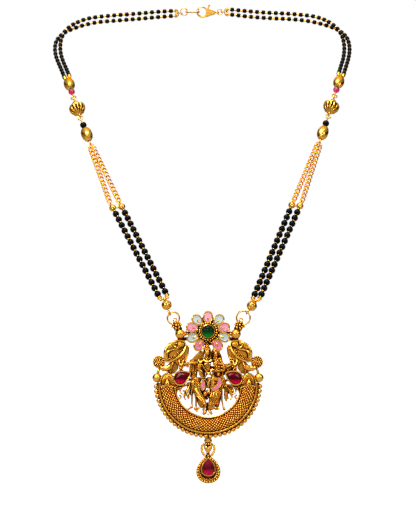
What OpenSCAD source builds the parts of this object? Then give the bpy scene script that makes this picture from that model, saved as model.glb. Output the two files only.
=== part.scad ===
// Mangalsutra in antique gold: bead strands, chains and a large crescent pendant,
// in the form that it hangs in round a neck. Millimetres, +Z up, the front is towards -Y.
// The origin is at the nape of the neck, in the pendant's plane of symmetry.

/* [Pendant] */
// Outer radius of the crescent
crescent_r_out = 24.3; // [23.8:0.1:24.6]
// Inner radius of the crescent
crescent_r_in = 16.6; // [16.2:0.1:17]
// How far the crescent bulges forward
crescent_bulge = 3.2; // [2.4:0.1:4]
// Diameter of the gold granules round the rim
rim_granule_d = 2; // [1.8:0.1:2.1]
// Number of granules round the rim
rim_granules = 34; // [30:2:34]
// Diameter of the green cabochon
green_d = 6.1; // [5.6:0.1:6.4]
// Length of a red pear stone of the pendant
pear_l = 8.2; // [7.6:0.1:8.4]
// Width of a red pear stone of the pendant
pear_w = 5.8; // [5.4:0.1:6]

/* [Drop] */
// Length of the drop's pear stone
drop_stone_l = 8.3; // [7.6:0.1:8.6]
// Width of the drop's pear stone
drop_stone_w = 6.5; // [6:0.1:6.8]

/* [Beads] */
// Diameter of the black beads of the lower strings
string_bead_d = 3.4; // [2.9:0.1:3.5]
// Diameter of the long strands of seed beads
strand_d = 2.4; // [2:0.1:2.4]
// Length of an oval gold bead
oval_l = 9.6; // [9:0.1:10]
// Diameter of an oval gold bead
oval_d = 6; // [5.4:0.1:6.2]
// Greatest diameter of a lantern bead
lantern_d = 8.6; // [8:0.1:9]
// Diameter of the red and black round beads beside the lantern
side_bead_d = 3.5; // [3:0.1:3.6]
// Diameter of the dimpled round bead above a jump ring
round_bead_d = 5.1; // [4.6:0.1:5.2]

/* [Chains] */
// Links in each gold chain
chain_links = 15; // [15:1:15]
// Wire radius of a chain link
link_wire = 0.27; // [0.22:0.01:0.28]
// Width of a chain link between the middles of its wires
link_w = 2.05; // [1.95:0.05:2.15]

/* [Hidden] */

gold = [0.83, 0.58, 0.16];
old_gold = [0.72, 0.47, 0.12];
black = [0.03, 0.03, 0.04];
red = [0.55, 0.02, 0.12];
green = [0.02, 0.3, 0.08];
pink = [0.9, 0.55, 0.68];
aqua = [0.74, 0.86, 0.88];

clear = 0.12;
front = [0, -1, 0];
pin_r = 0.33;
bore_r = 0.5;
eye_r = 1.3;
small = 24;

// Places of the beads along their pins, from the knuckle of each pin
pin_end_gap = 2 * eye_r - pin_r - clear / 2;
ruby_at = 6.5;
upper_oval_at = 13.7;
cup_from = 18.6;
lantern_at = 7.16;
black_at = 5.9;
lower_oval_at = 12.6;

// Knuckles of each side: where one eye passes through the next, and where the strands begin
left_top = [-76.6, -45.5, -39.2];
left_knuckle_1 = [-71.7, -62, -52.8];
left_knuckle_2 = [-67.8, -71, -63.1];
left_knuckle_3 = [-61.7, -82.5, -78.3];
right_top = [72.3, -45.5, -37.6];
right_knuckle_1 = [67.5, -62, -51.8];
right_knuckle_2 = [64, -71, -62.2];
right_knuckle_3 = [58.6, -82.8, -77.4];

// Gold balls where a chain meets its bead string, and the last bead of the string
left_outer_ball = [-49.2, -105.5, -112.1];
left_inner_ball = [-44.5, -105.5, -111.5];
right_inner_ball = [43.3, -105.5, -110.7];
right_outer_ball = [47.5, -105.5, -111.1];
left_outer_end = [-25.3, -139, -156.1];
left_inner_end = [-21.6, -139, -154.8];
right_inner_end = [23.5, -139, -156.2];
right_outer_end = [26.9, -139, -156.2];
string_beads = 15;
first_bead = 4.4;
ball_d = 3.6;

// Rings of the chains, and the eyes of the bead strings
chain_ring_r = 1.5;
chain_ring_wire = 0.3;
spread_angle = 32;
link_roll = [98, 40];
string_eye_r = 0.85;
string_wire_r = 0.28;
string_eye_at = ball_d / 2 + string_eye_r + 0.35;

// Dimpled beads, jump rings and the points of the rings where the end pins hang
left_bead = [-20.7, -143, -161.5];
right_bead = [22, -143, -162];
pendant_y = -145;
crescent_z = -201;
left_ring = [-17.3, pendant_y, crescent_z + 32.95];
right_ring = [17.65, pendant_y, crescent_z + 33.1];
left_ring_r = 3;
right_ring_r = 3.4;
jump_wire = 0.45;
bail_angle = -45;
left_hang = left_ring + left_ring_r * [-0.664, 0, 0.747];
right_hang = right_ring + right_ring_r * [0.61, 0, 0.793];

// Routes of the four long strands, from the oval bead up over the shoulder to the nape
right_outer_route = [[73.3, -46.3, -38.8], [75.5, -38, -32.6], [76.9, -32, -28.4], [77.8, -26, -23.9],
  [77.8, -21, -19.8], [76.9, -16.4, -16], [74.6, -12.4, -12.9], [71.2, -9.2, -10.4], [66, -6.6, -8.2],
  [60, -5, -6.4], [53, -4.1, -5.1], [46, -3.5, -4.4], [39, -2.9, -4], [31, -2.2, -3.5], [23, -1.5, -2.8],
  [11.8, -0.5, -1.4]];
right_inner_route = [[70.8, -46.3, -37.9], [72.7, -38, -32.4], [74.1, -32, -28.2], [74.9, -26, -23.5],
  [74.9, -21, -19], [74, -16.4, -14.6], [71.6, -13, -10.4], [67.8, -10.2, -7], [63.6, -7.4, -4.6],
  [58.8, -5.4, -3], [52.6, -4.1, -2.1], [46, -3.5, -1.4], [39, -2.9, -1], [31, -2.2, -0.5], [23, -1.5, 0.2],
  [11.8, -0.5, 1.4]];
left_outer_route = [[-77.7, -46.1, -40.2], [-79.9, -38, -35.2], [-81.8, -32, -31.2], [-83.6, -26, -26.8],
  [-84.4, -21, -22.6], [-84.2, -16.4, -18.6], [-82.6, -12.4, -15.2], [-79.4, -9.2, -12.3],
  [-75, -6.8, -10], [-69, -5, -7.8], [-62, -4, -6.2], [-54, -3.4, -5.4], [-46, -2.7, -4.7],
  [-38, -2, -4], [-29, -1.2, -3.1], [-19, -0.4, -2.2]];
left_inner_route = [[-75.1, -46.1, -39.3], [-77.1, -38, -35], [-79, -32, -31], [-80.7, -26, -26.4],
  [-81.5, -21, -21.8], [-81.3, -16.4, -17.2], [-79.6, -13, -12.4], [-76.2, -10.4, -8.8],
  [-72.4, -7.6, -6.4], [-67.6, -5.4, -4.4], [-61.5, -4, -3.2], [-54, -3.4, -2.4], [-46, -2.7, -1.7],
  [-38, -2, -1], [-29, -1.2, -0.1], [-19, -0.4, 0.6]];

// Clasp row
clasp_x = -3.3;
hook_r = 2.7;
hook_wire = 0.5;
hook_open = 128;
lever_from = 34;
lever_to = 112;
lever_pivot = [-0.2, 1.2];
lever_pin = 0.3;
link_x = [-12.7, -4.55];
left_clasp_ring_x = -13.4;
left_clasp_ring_r = 1.95;
right_clasp_ring_x = 6.6;
right_clasp_ring_r = 1.45;
cap_eye_r = 0.9;
left_cap_x = -15.4;
left_cap_z = -0.8;
right_cap_x = 8.2;

// Pendant, seen from the front, from the crescent's centre
back_w = -1.6;
flower_at = [0, 26.25];
ball_at = [13.8, 25.2];
end_ball_at = [25.5, 3.4];
plain_ball_r = 2.35;
fan_at = [24.1, 11];
fan_r = 3.3;
pear_at = [12.8, 3.7];
bail_at = [15.2, 30.8];
petal_angles = [0, 41, 78, 113, 146, -41, -78, -113, -146];
petal_pink = [true, false, true, false, true, false, true, false, true];
petal_reach = [7.35, 7.7, 8, 8, 7.7, 7.7, 8, 8, 7.9];
petal_l = 5.7;
petal_w = 4.5;
rim_gap = 0.75;
bail_eye_r = 1.32;
bail_wire = 0.38;
bail_shift = 0.33;
pear_turn = 62;
stone_fullness = 0.7;
drop_fullness = 0.4;
drop_hinge = [0, -27.2, -1.2];
drop_loop_r = 0.95;
loop_wire = 0.35;
drop_rim_at = [0.1, -42.95];
drop_rim = [13.3, 11.7];
drop_stone_at = [0.1, -41.6];

// Hanging sashes: where each begins and ends
sash_from = [[-6.2, -1, 0], [-8, -1.6, -0.6], [-4.8, -4, 0], [6.7, -3.17, 0.04], [8.6, -1, -0.4],
  [9.6, 0, 0]];
sash_to = [[-10.4, -3.4, 0], [-8.7, -11, -0.6], [-5.8, -12, 0], [7.4, -12.4, 0], [10.6, -7.4, -0.4],
  [13.8, -5.6, 0]];

function unit(v) = v / norm(v);
function flat_to(v, z) = unit(v - (v * z) * z);

// Carries children whose axis is +Z to the point p, with their axis along u
// and their +Y as near as it can be to the normal n
module pose(p, u, n = front) {
  z = unit(u);
  y = flat_to(n, z);
  x = cross(y, z);
  multmatrix([[x[0], y[0], z[0], p[0]], [x[1], y[1], z[1], p[1]], [x[2], y[2], z[2], p[2]]]) children();
}

// Ring of round wire round the Z axis
module ring(r, wire) {
  rotate_extrude($fn = 48) translate([r, 0]) circle(r = wire, $fn = small);
}

// Eye in the XZ plane, its hole along Y
module eye(r, wire) {
  rotate([90, 0, 0]) ring(r, wire);
}

// Oblong link in the XZ plane, as long between its wires' middles as len, its straight
// sides a little thinner than its bent ends and let into them
module oblong(len, wide, wire) {
  straight = len - wide;
  union() {
    for (end = [90, -90])
      rotate([end, 0, 0]) translate([0, straight / 2, 0])
        rotate_extrude(angle = 180, $fn = 48) translate([wide / 2, 0]) circle(r = wire, $fn = small);
    for (side = [-1, 1])
      translate([side * wide / 2, 0, 0])
        cylinder(h = straight + wire / 3, r = 0.95 * wire, center = true, $fn = small);
  }
}

// Round bead with a hole along Z
module bead(d, hole = bore_r) {
  difference() {
    sphere(d = d, $fn = 40);
    cylinder(h = d + 1, r = hole, center = true, $fn = small);
  }
}

// Oval bead with rounded steps, and a hole along Z
module oval_bead() {
  a = oval_l / 2;
  b = oval_d / 2;
  steps = [-75, -60, -42, -22, 0, 22, 42, 60, 75];
  rotate_extrude($fn = 48)
    polygon(concat([[bore_r, -a * 0.97]], [for (t = steps) [b * cos(t), a * sin(t)]], [[bore_r, a * 0.97]]));
}

// Eye pin from knuckle p to the point q: an eye at p, and one at q if both is true
module eye_pin(p, q, shaft, turn_p = 0, turn_q = 0, both = true) {
  reach = eye_r - pin_r - clear / 2;
  far = norm(q - p);
  pose(p, q - p) {
    translate([0, 0, reach]) rotate([0, 0, turn_p]) eye(eye_r, pin_r);
    translate([0, 0, reach + eye_r]) cylinder(h = shaft, r = pin_r, $fn = small);
    if (both)
      translate([0, 0, far - reach]) rotate([0, 0, turn_q]) eye(eye_r, pin_r);
  }
}

// Middle of an eye pin's end, so far from its knuckle
function along(p, q, s) = p + s * unit(q - p);

// Clasp

module clasp_body() {
  color(gold) difference() {
    union() {
      rotate([90, 0, 0]) translate([clasp_x, 0, 0])
        rotate([0, 0, hook_open]) rotate_extrude(angle = 304 - hook_open, $fn = 64)
          translate([hook_r, 0]) circle(r = hook_wire, $fn = small);
      intersection() {
        translate([-1.6, 0, -0.4]) rotate([0, 90, 0]) cylinder(h = 5.5, r1 = 2.7, r2 = 0.9, $fn = 48);
        translate([-1.6, -1.15, -3.2]) cube([5.5, 2.3, 6]);
      }
      translate([4.95, 0, -0.3]) ring(cap_eye_r + 0.1, loop_wire);
    }
    translate([clasp_x, 0, 0]) rotate([90, 0, 0])
      cylinder(h = 4, r = hook_r - hook_wire, center = true, $fn = 48);
    translate([-2.4, -0.55, 0]) cube([3.5, 1.1, 4]);
  }
  color(gold) translate([lever_pivot[0], 0.8, lever_pivot[1]]) rotate([90, 0, 0])
    cylinder(h = 1.6, r = lever_pin, $fn = small);
}

module clasp_lever() {
  color(gold) difference() {
    union() {
      rotate([90, 0, 0]) translate([clasp_x, 0, 0])
        rotate([0, 0, lever_from]) rotate_extrude(angle = lever_to - lever_from, $fn = 64)
          translate([hook_r, 0]) circle(r = 0.4, $fn = small);
      translate([lever_pivot[0], 0, lever_pivot[1]]) rotate([90, 0, 0])
        cylinder(h = 0.84, r = 0.8, center = true, $fn = 32);
      translate([lever_pivot[0], 0, lever_pivot[1]]) rotate([0, 18, 0]) {
        cylinder(h = 2.5, r = 0.4, $fn = small);
        translate([0, 0, 2.5]) sphere(r = 0.6, $fn = 32);
      }
    }
    translate([lever_pivot[0], 0, lever_pivot[1]]) rotate([90, 0, 0])
      cylinder(h = 3, r = lever_pin + 0.05, center = true, $fn = small);
  }
}

module clasp_link() {
  long = link_x[1] - link_x[0] - 0.8;
  color(gold) translate([(link_x[0] + link_x[1]) / 2, 0, 0]) rotate([0, 90, 0]) rotate([0, 0, 90])
    oblong(long, 2.6, 0.4);
}

module clasp_ring(x, r) {
  color(gold) translate([x, 0, 0]) eye(r, 0.3);
}

// End piece: two cups for the two strands and an eye for the clasp ring
module end_cap(x, z, way) {
  color(gold) translate([x, 0, z]) {
    ring(cap_eye_r, 0.28);
    translate([way * (cap_eye_r + 0.9), 0, 0]) {
      cylinder(h = 2.8, r = 0.75, center = true, $fn = small);
      for (up = [-1, 1])
        translate([0, 0, up * 1.4]) rotate([0, way * 90, 0]) difference() {
          translate([0, 0, -0.3]) cylinder(h = 1.7, r1 = 0.7, r2 = 1.15, $fn = small);
          translate([0, 0, 0.6]) cylinder(h = 1, r = 0.5, $fn = small);
        }
    }
  }
}

// Long strands: a tube swept along its route, 8 sides

function cut_u(pts, i) = unit(pts[min(i + 1, len(pts) - 1)] - pts[max(i - 1, 0)]);
module tube(route, d) {
  sides = 8;
  rings = len(route);
  points = [for (i = [0 : rings - 1]) let (u = cut_u(route, i), a = flat_to([0, 0.3, 1], u), b = cross(u, a))
    for (k = [0 : sides - 1]) route[i] + d / 2 * (cos(360 * k / sides) * a + sin(360 * k / sides) * b)];
  walls = [for (i = [0 : rings - 2]) for (k = [0 : sides - 1]) let (n = (k + 1) % sides, j = i + 1)
    for (w = [[i * sides + k, i * sides + n, j * sides + n],
      [i * sides + k, j * sides + n, j * sides + k]]) w];
  start = [for (k = [sides - 1 : -1 : 0]) k];
  finish = [for (k = [0 : sides - 1]) (rings - 1) * sides + k];
  polyhedron(points, concat([start], walls, [finish]), convexity = 8);
}

module strand(route) {
  color(black) tube(route, strand_d);
}

// Beads and pins beside the lantern, each side from its own knuckles

module upper_oval(k1, top) {
  color(gold) {
    pose(along(k1, top, upper_oval_at), top - k1) oval_bead();
    pose(along(k1, top, cup_from), top - k1) {
      translate([0, 0, -0.7]) difference() {
        cylinder(h = 1.5, r = 1.3, $fn = small);
        translate([0, 0, -1]) cylinder(h = 4, r = bore_r, $fn = small);
      }
      for (side = [-1, 1])
        translate([side * 1.35, 0, 0.3]) difference() {
          cylinder(h = 1.9, r1 = 0.8, r2 = 1.2, $fn = small);
          translate([0, 0, 0.9]) cylinder(h = 2, r = 0.5, $fn = small);
        }
    }
  }
}

module ruby_bead(k1, top) {
  color(red) pose(along(k1, top, ruby_at), top - k1) bead(side_bead_d);
}

module upper_pin(k1, top) {
  color(gold) eye_pin(k1, top, cup_from - pin_end_gap - 0.4, both = false);
}

module lantern_bead(k2, k1) {
  r = lantern_d / 2;
  outer = [[1, -4.6], [2.3, -3.7], [3.45, -2.5], [r - 0.25, -0.6], [r, -0.1], [r, 0.25], [r - 0.3, 0.6],
    [3, 1.2], [2.05, 2.5], [1.6, 3.6], [1.2, 4.4]];
  inner = [[bore_r, 3.9], [1.1, 3.4], [1.5, 2.3], [2.5, 0.9], [r - 0.9, 0.2], [r - 0.9, -0.5], [2.85, -2.2],
    [1.8, -3.3], [bore_r, -4.1]];
  color(gold) pose(along(k2, k1, lantern_at), k1 - k2) difference() {
    rotate_extrude($fn = 48) polygon(concat([[bore_r, -4.6]], outer, [[bore_r, 4.4]], inner));
    for (i = [0 : 11])
      rotate([0, 0, i * 30]) translate([2.1, -0.33, -3.3]) cube([3, 0.66, 2.6]);
    for (i = [0 : 5])
      rotate([0, 0, i * 60 + 15]) translate([0, 0, 2.1]) rotate([0, 90, 0])
        cylinder(h = 4, r = 0.45, $fn = small);
  }
}

module lantern_pin(k2, k1) {
  color(gold) eye_pin(k2, k1, norm(k1 - k2) - 2 * pin_end_gap, 90, 90);
}

module black_bead(k2, k3) {
  color(black) pose(along(k2, k3, black_at), k3 - k2) bead(side_bead_d);
}

module lower_oval(k2, k3) {
  color(gold) pose(along(k2, k3, lower_oval_at), k3 - k2) oval_bead();
}

module lower_pin(k2, k3) {
  color(gold) eye_pin(k2, k3, norm(k3 - k2) - 2 * pin_end_gap, 0, 90);
}

// Gold chains

function ring_middle(k2, k3) = k3 + (chain_ring_r - chain_ring_wire - clear / 2) * unit(k3 - k2);
function ring_side(k2, k3, side) = let (z = unit(k3 - k2), x = cross(flat_to(front, z), z))
  ring_middle(k2, k3) + chain_ring_r * (side * sin(spread_angle) * x + cos(spread_angle) * z);

module chain_ring(k2, k3) {
  color(gold) pose(ring_middle(k2, k3), k3 - k2) eye(chain_ring_r, chain_ring_wire);
}

// Chain of links from the ring's wire at p to the string's eye at q, each turned against the last
module chain(p, q) {
  first = -1.7 * clear;
  run = norm(q - p) - first;
  pitch = (run + 2 * link_wire + clear) / chain_links;
  long = pitch + 2 * link_wire + clear;
  color(gold) pose(p, q - p)
    for (i = [0 : chain_links - 1])
      translate([0, 0, first + pitch * (i + 0.5) - link_wire - clear / 2])
        rotate([0, 0, i % 2 == 0 ? link_roll[0] : link_roll[1]]) oblong(long, link_w, link_wire);
}

function eye_bottom(ball, end) = ball - (string_eye_at + string_eye_r - 0.1) * unit(end - ball);

module ball_pair(a, a_end, b, b_end) {
  color(gold) difference() {
    union() {
      translate(a) sphere(d = ball_d, $fn = 40);
      translate(b) sphere(d = ball_d, $fn = 40);
      pose(a, b - a) cylinder(h = norm(b - a), r = 0.5, $fn = small);
    }
    pose(a, a_end - a) cylinder(h = ball_d + 1, r = bore_r, center = true, $fn = small);
    pose(b, b_end - b) cylinder(h = ball_d + 1, r = bore_r, center = true, $fn = small);
  }
}

// Bead strings

function bead_pitch(ball, end) = (norm(end - ball) - first_bead) / (string_beads - 1);

module bead_string(ball, end) {
  color(black) pose(ball, end - ball)
    for (i = [0 : string_beads - 1])
      translate([0, 0, first_bead + i * bead_pitch(ball, end)]) bead(string_bead_d, 0.45);
}

// Wire of a string: an eye over the ball, and a small spacer after each bead
module string_wire(ball, end) {
  pitch = bead_pitch(ball, end);
  wide = 0.72;
  half = (pitch - string_bead_d) / 2 - 0.1;
  stop = norm(end - ball) + 3.1;
  spacers = [for (i = [-1 : string_beads - 1]) let (z = first_bead + (i + 0.5) * pitch)
    for (s = [[string_wire_r, -half], [wide, -half * 0.5], [wide, half * 0.5], [string_wire_r, half]])
      [s[0], z + s[1]]];
  color(gold) pose(ball, end - ball) {
    rotate_extrude($fn = small)
      polygon(concat([[0, -string_eye_at + string_eye_r]], [[string_wire_r, -string_eye_at + string_eye_r]],
        spacers, [[string_wire_r, stop]], [[0, stop]]));
    translate([0, 0, -string_eye_at]) eye(string_eye_r, string_wire_r);
  }
}

// Ends of the strings

function cup_point(ball, end) = end + 2.6 * unit(end - ball);

module end_cups(a, a_end, b, b_end, low, hang) {
  base = low + (round_bead_d / 2 + 0.9) * unit(low - hang);
  color(gold) difference() {
    union() {
      for (s = [[a, a_end], [b, b_end]]) {
        pose(cup_point(s[0], s[1]), s[1] - s[0]) cylinder(h = 1.5, r1 = 1.25, r2 = 0.6, $fn = small);
        foot = cup_point(s[0], s[1]) + 1.2 * unit(s[1] - s[0]);
        pose(foot, base - foot) cylinder(h = norm(base - foot), r = 0.5, $fn = small);
      }
      translate(base) sphere(r = 0.85, $fn = 32);
    }
    for (s = [[a, a_end], [b, b_end]])
      pose(cup_point(s[0], s[1]), s[1] - s[0]) translate([0, 0, -1]) cylinder(h = 1.8, r = 0.42, $fn = small);
    pose(base, low - base) cylinder(h = 2, r = 0.45, $fn = small);
  }
}

module round_bead(low, hang) {
  color(gold) pose(low, hang - low) bead(round_bead_d);
}

// Pin through the round bead, with an eye that holds the jump ring's wire at hang
module end_pin(low, hang, tangent) {
  r = 1.2;
  up = unit(low - hang);
  middle = hang + (r - pin_r - jump_wire - 1.6 * clear) * up;
  color(gold) {
    pose(middle, up, tangent) eye(r, pin_r);
    pose(middle + r * up, up)
      cylinder(h = norm(low - middle) - r + round_bead_d / 2 + 0.4, r = pin_r, $fn = small);
  }
}

module jump_ring(at, r) {
  color(gold) translate(at) eye(r, jump_wire);
}

// Pendant: its own parts are drawn flat, x to the right, y up and z to the front

module on_pendant() {
  translate([0, pendant_y, crescent_z]) rotate([90, 0, 0]) children();
}

module mirrored() {
  children();
  mirror([1, 0, 0]) children();
}

// Small ball of few faces
module granule(r) {
  rotate_extrude($fn = 5) polygon([[0, -r], [0.85 * r, -0.45 * r], [0.85 * r, 0.45 * r], [0, r]]);
}

// Pointed leaf of the given length and width along X, thinner towards its edge
module leaf(l, w, h, taper = 0.72) {
  sag = (l * l / 4 - w * w / 4) / w;
  r = w / 2 + sag;
  linear_extrude(height = h, scale = taper)
    intersection() {
      translate([0, sag]) circle(r = r, $fn = 30);
      translate([0, -sag]) circle(r = r, $fn = 30);
    }
}

// Limb or strap between two points, rounded at both ends
module limb(a, b, ra, rb) {
  hull() {
    translate(a) granule(ra);
    translate(b) granule(rb);
  }
}

module crescent() {
  mid = (crescent_r_out + crescent_r_in) / 2;
  top = crescent_bulge;
  rotate([0, 0, 177]) rotate_extrude(angle = 186, $fn = 60)
    polygon([[crescent_r_in, back_w], [crescent_r_in, 1.3], [crescent_r_in + 0.8, 1.1],
      [crescent_r_in + 1.8, top * 0.78], [mid, top], [crescent_r_out - 1.8, top * 0.78],
      [crescent_r_out - 0.8, 1.1], [crescent_r_out, 1.3], [crescent_r_out, back_w]]);
  rotate([0, 0, 182]) rotate_extrude(angle = 176, $fn = 60)
    polygon([[crescent_r_out - 0.4, -1.3], [crescent_r_out + 1.3, -1.12], [crescent_r_out + 1.3, -0.66],
      [crescent_r_out - 0.4, -0.5]]);
}

module rim() {
  r = crescent_r_out + rim_gap + rim_granule_d / 2;
  for (i = [0 : rim_granules - 1])
    rotate([0, 0, 180 + (i + 0.5) * 180 / rim_granules + 0.2])
      translate([r, 0, -0.4]) granule(rim_granule_d / 2);
}

// Domed cap on each horn of the crescent, with a small bell on it
module horn_cap() {
  hull() {
    translate([20.3, -1, back_w + 0.09]) linear_extrude(height = 2.4) square([7.7, 1], center = true);
    translate([20.3, 1.5, back_w + 0.09]) cylinder(h = 3.4, r1 = 3.6, r2 = 2.6, $fn = 14);
    translate([20.1, 3.2, back_w + 0.09]) cylinder(h = 2.6, r1 = 2.6, r2 = 1.8, $fn = 10);
  }
  hull() {
    translate([19.9, -0.4, 1.8]) sphere(r = 1.5, $fn = 10);
    translate([19.9, 1.6, 1.6]) sphere(r = 1, $fn = 8);
  }
}

module flower() {
  translate([flower_at[0], flower_at[1], 0]) {
    difference() {
      translate([0, 0, back_w]) cylinder(h = 3.9, r1 = 6.4, r2 = green_d / 2 + 0.5, $fn = 16);
      translate([0, 0, 0.9]) cylinder(h = 3, r = green_d / 2 + 0.17, $fn = 16);
    }
    for (i = [0 : 13])
      rotate([0, 0, i * 360 / 14]) translate([4.5, 0, 1.4]) granule(0.6);
    for (i = [0 : len(petal_angles) - 1])
      rotate([0, 0, -petal_angles[i]]) translate([0, petal_reach[i], 0]) petal_bezel();
  }
}

module petal_bezel() {
  difference() {
    translate([0, 0, -0.5]) scale([petal_w, petal_l, 1]) cylinder(h = 1.9, d = 1, $fn = 10);
    translate([0, 0, 0.5]) scale([petal_w - 0.7, petal_l - 0.7, 1]) cylinder(h = 2, d = 1, $fn = 10);
  }
}

// Oval domed stone of a petal
module petal_stone() {
  translate([0, 0, 0.6]) hull() {
    scale([petal_w - 0.95, petal_l - 0.95, 1]) cylinder(h = 0.5, d = 1, $fn = 10);
    scale([petal_w - 2.2, petal_l - 2.2, 1]) cylinder(h = 0.95, d = 1, $fn = 10);
  }
}

module petal_stones(of_pink) {
  on_pendant() translate([flower_at[0], flower_at[1], 0])
    for (i = [0 : len(petal_angles) - 1])
      if (petal_pink[i] == of_pink)
        rotate([0, 0, -petal_angles[i]]) translate([0, petal_reach[i], 0]) petal_stone();
}

// Wing of a bird: a rimmed leaf with a scroll and feathers, and a narrow leaf behind it
module wing() {
  translate([16.2, 16.4, -0.6]) rotate([0, 0, -47]) {
    leaf(15.2, 8.6, 2.6, 0.86);
    translate([-1.5, 0.6, 2.2]) leaf(10, 4.6, 1.2, 0.6);
    limb([-5, 1, 2.2], [-1.5, 2.2, 2.6], 0.9, 1.2);
    limb([-1.5, 2.2, 2.6], [0.6, 0.3, 2.4], 1.2, 0.6);
  }
  translate([12.4, 15.2, -1]) rotate([0, 0, -68]) leaf(12.4, 4, 1.8, 0.7);
  translate([15.9, 8.6, back_w + 0.14]) rotate([0, 0, -20]) leaf(8, 6.5, 0.9, 0.95);
  translate([11.8, 8.2, back_w + 0.21]) rotate([0, 0, 60]) leaf(7, 3.4, 1, 0.95);
}

// Granulated fan, and the curved tail that runs from it to the wing
module fan() {
  translate([fan_at[0], fan_at[1], -0.8]) {
    cylinder(h = 1.8, r1 = fan_r, r2 = fan_r - 0.5, $fn = 12);
    for (i = [0 : 7])
      rotate([0, 0, i * 45]) translate([fan_r - 0.75, 0, 1.7]) granule(0.6);
    translate([0, 0, 1.9]) granule(0.8);
  }
  limb([22.8, 8.4, 0.3], [19.6, 7.3, 0.5], 1.2, 1.6);
  limb([19.6, 7.3, 0.5], [16.4, 9.6, 0.3], 1.6, 1.1);
  limb([23.7, 8.6, -0.4], [24.6, 5.4, -0.4], 0.9, 1);
}

// Rim that holds a red pear stone
module pear_bezel(l, w, wall, h) {
  difference() {
    linear_extrude(height = h) pear(l + 2 * wall, w + 2 * wall, 16, stone_fullness);
    translate([0, 0, h - 1.1]) linear_extrude(height = 2)
      pear(l + 2 * clear, w + 2 * clear, 16, stone_fullness);
  }
}

// Outline of a pear, its point up: the lower slim is, the rounder its shoulders
function pear_peak(slim) = 2 * pow((1 + slim) / (2 + slim), (1 + slim) / 2) / sqrt(2 + slim);
function pear_spot(l, w, t, slim) =
  [w / 2 * sin(t) * pow(sin(t / 2), slim) / pear_peak(slim), l / 2 * cos(t)];
module pear(l, w, n, slim) {
  polygon([for (i = [0 : n - 1]) pear_spot(l, w, 360 * i / n, slim)]);
}

// Cut pear stone: girdle, crown with its table, and a shallow back
module pear_stone(l, w) {
  color(red) hull() {
    linear_extrude(height = 0.5) pear(l, w, 16, stone_fullness);
    translate([0, -0.15, 0]) linear_extrude(height = 1.5) pear(l * 0.62, w * 0.62, 16, stone_fullness);
  }
}

module pear_place() {
  translate([pear_at[0], pear_at[1], 0]) rotate([0, 0, pear_turn]) children();
}

// Bail: eye for the jump ring, and the cone of granules that carries it
module bail() {
  translate([bail_at[0], bail_at[1], 0]) rotate([0, 0, bail_angle]) translate([0, -bail_shift, 0])
    rotate([0, 90, 0]) rotate_extrude($fn = 12) translate([bail_eye_r, 0]) circle(r = bail_wire, $fn = 6);
  limb([14, 29.3, 0], [ball_at[0], ball_at[1], 0.2], 0.8, 1.3);
  for (g = [[13.5, 28.8, 0.6], [14.9, 28.5, 0.4], [14.2, 27.9, 1.3]])
    translate(g) granule(0.8);
}

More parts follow.
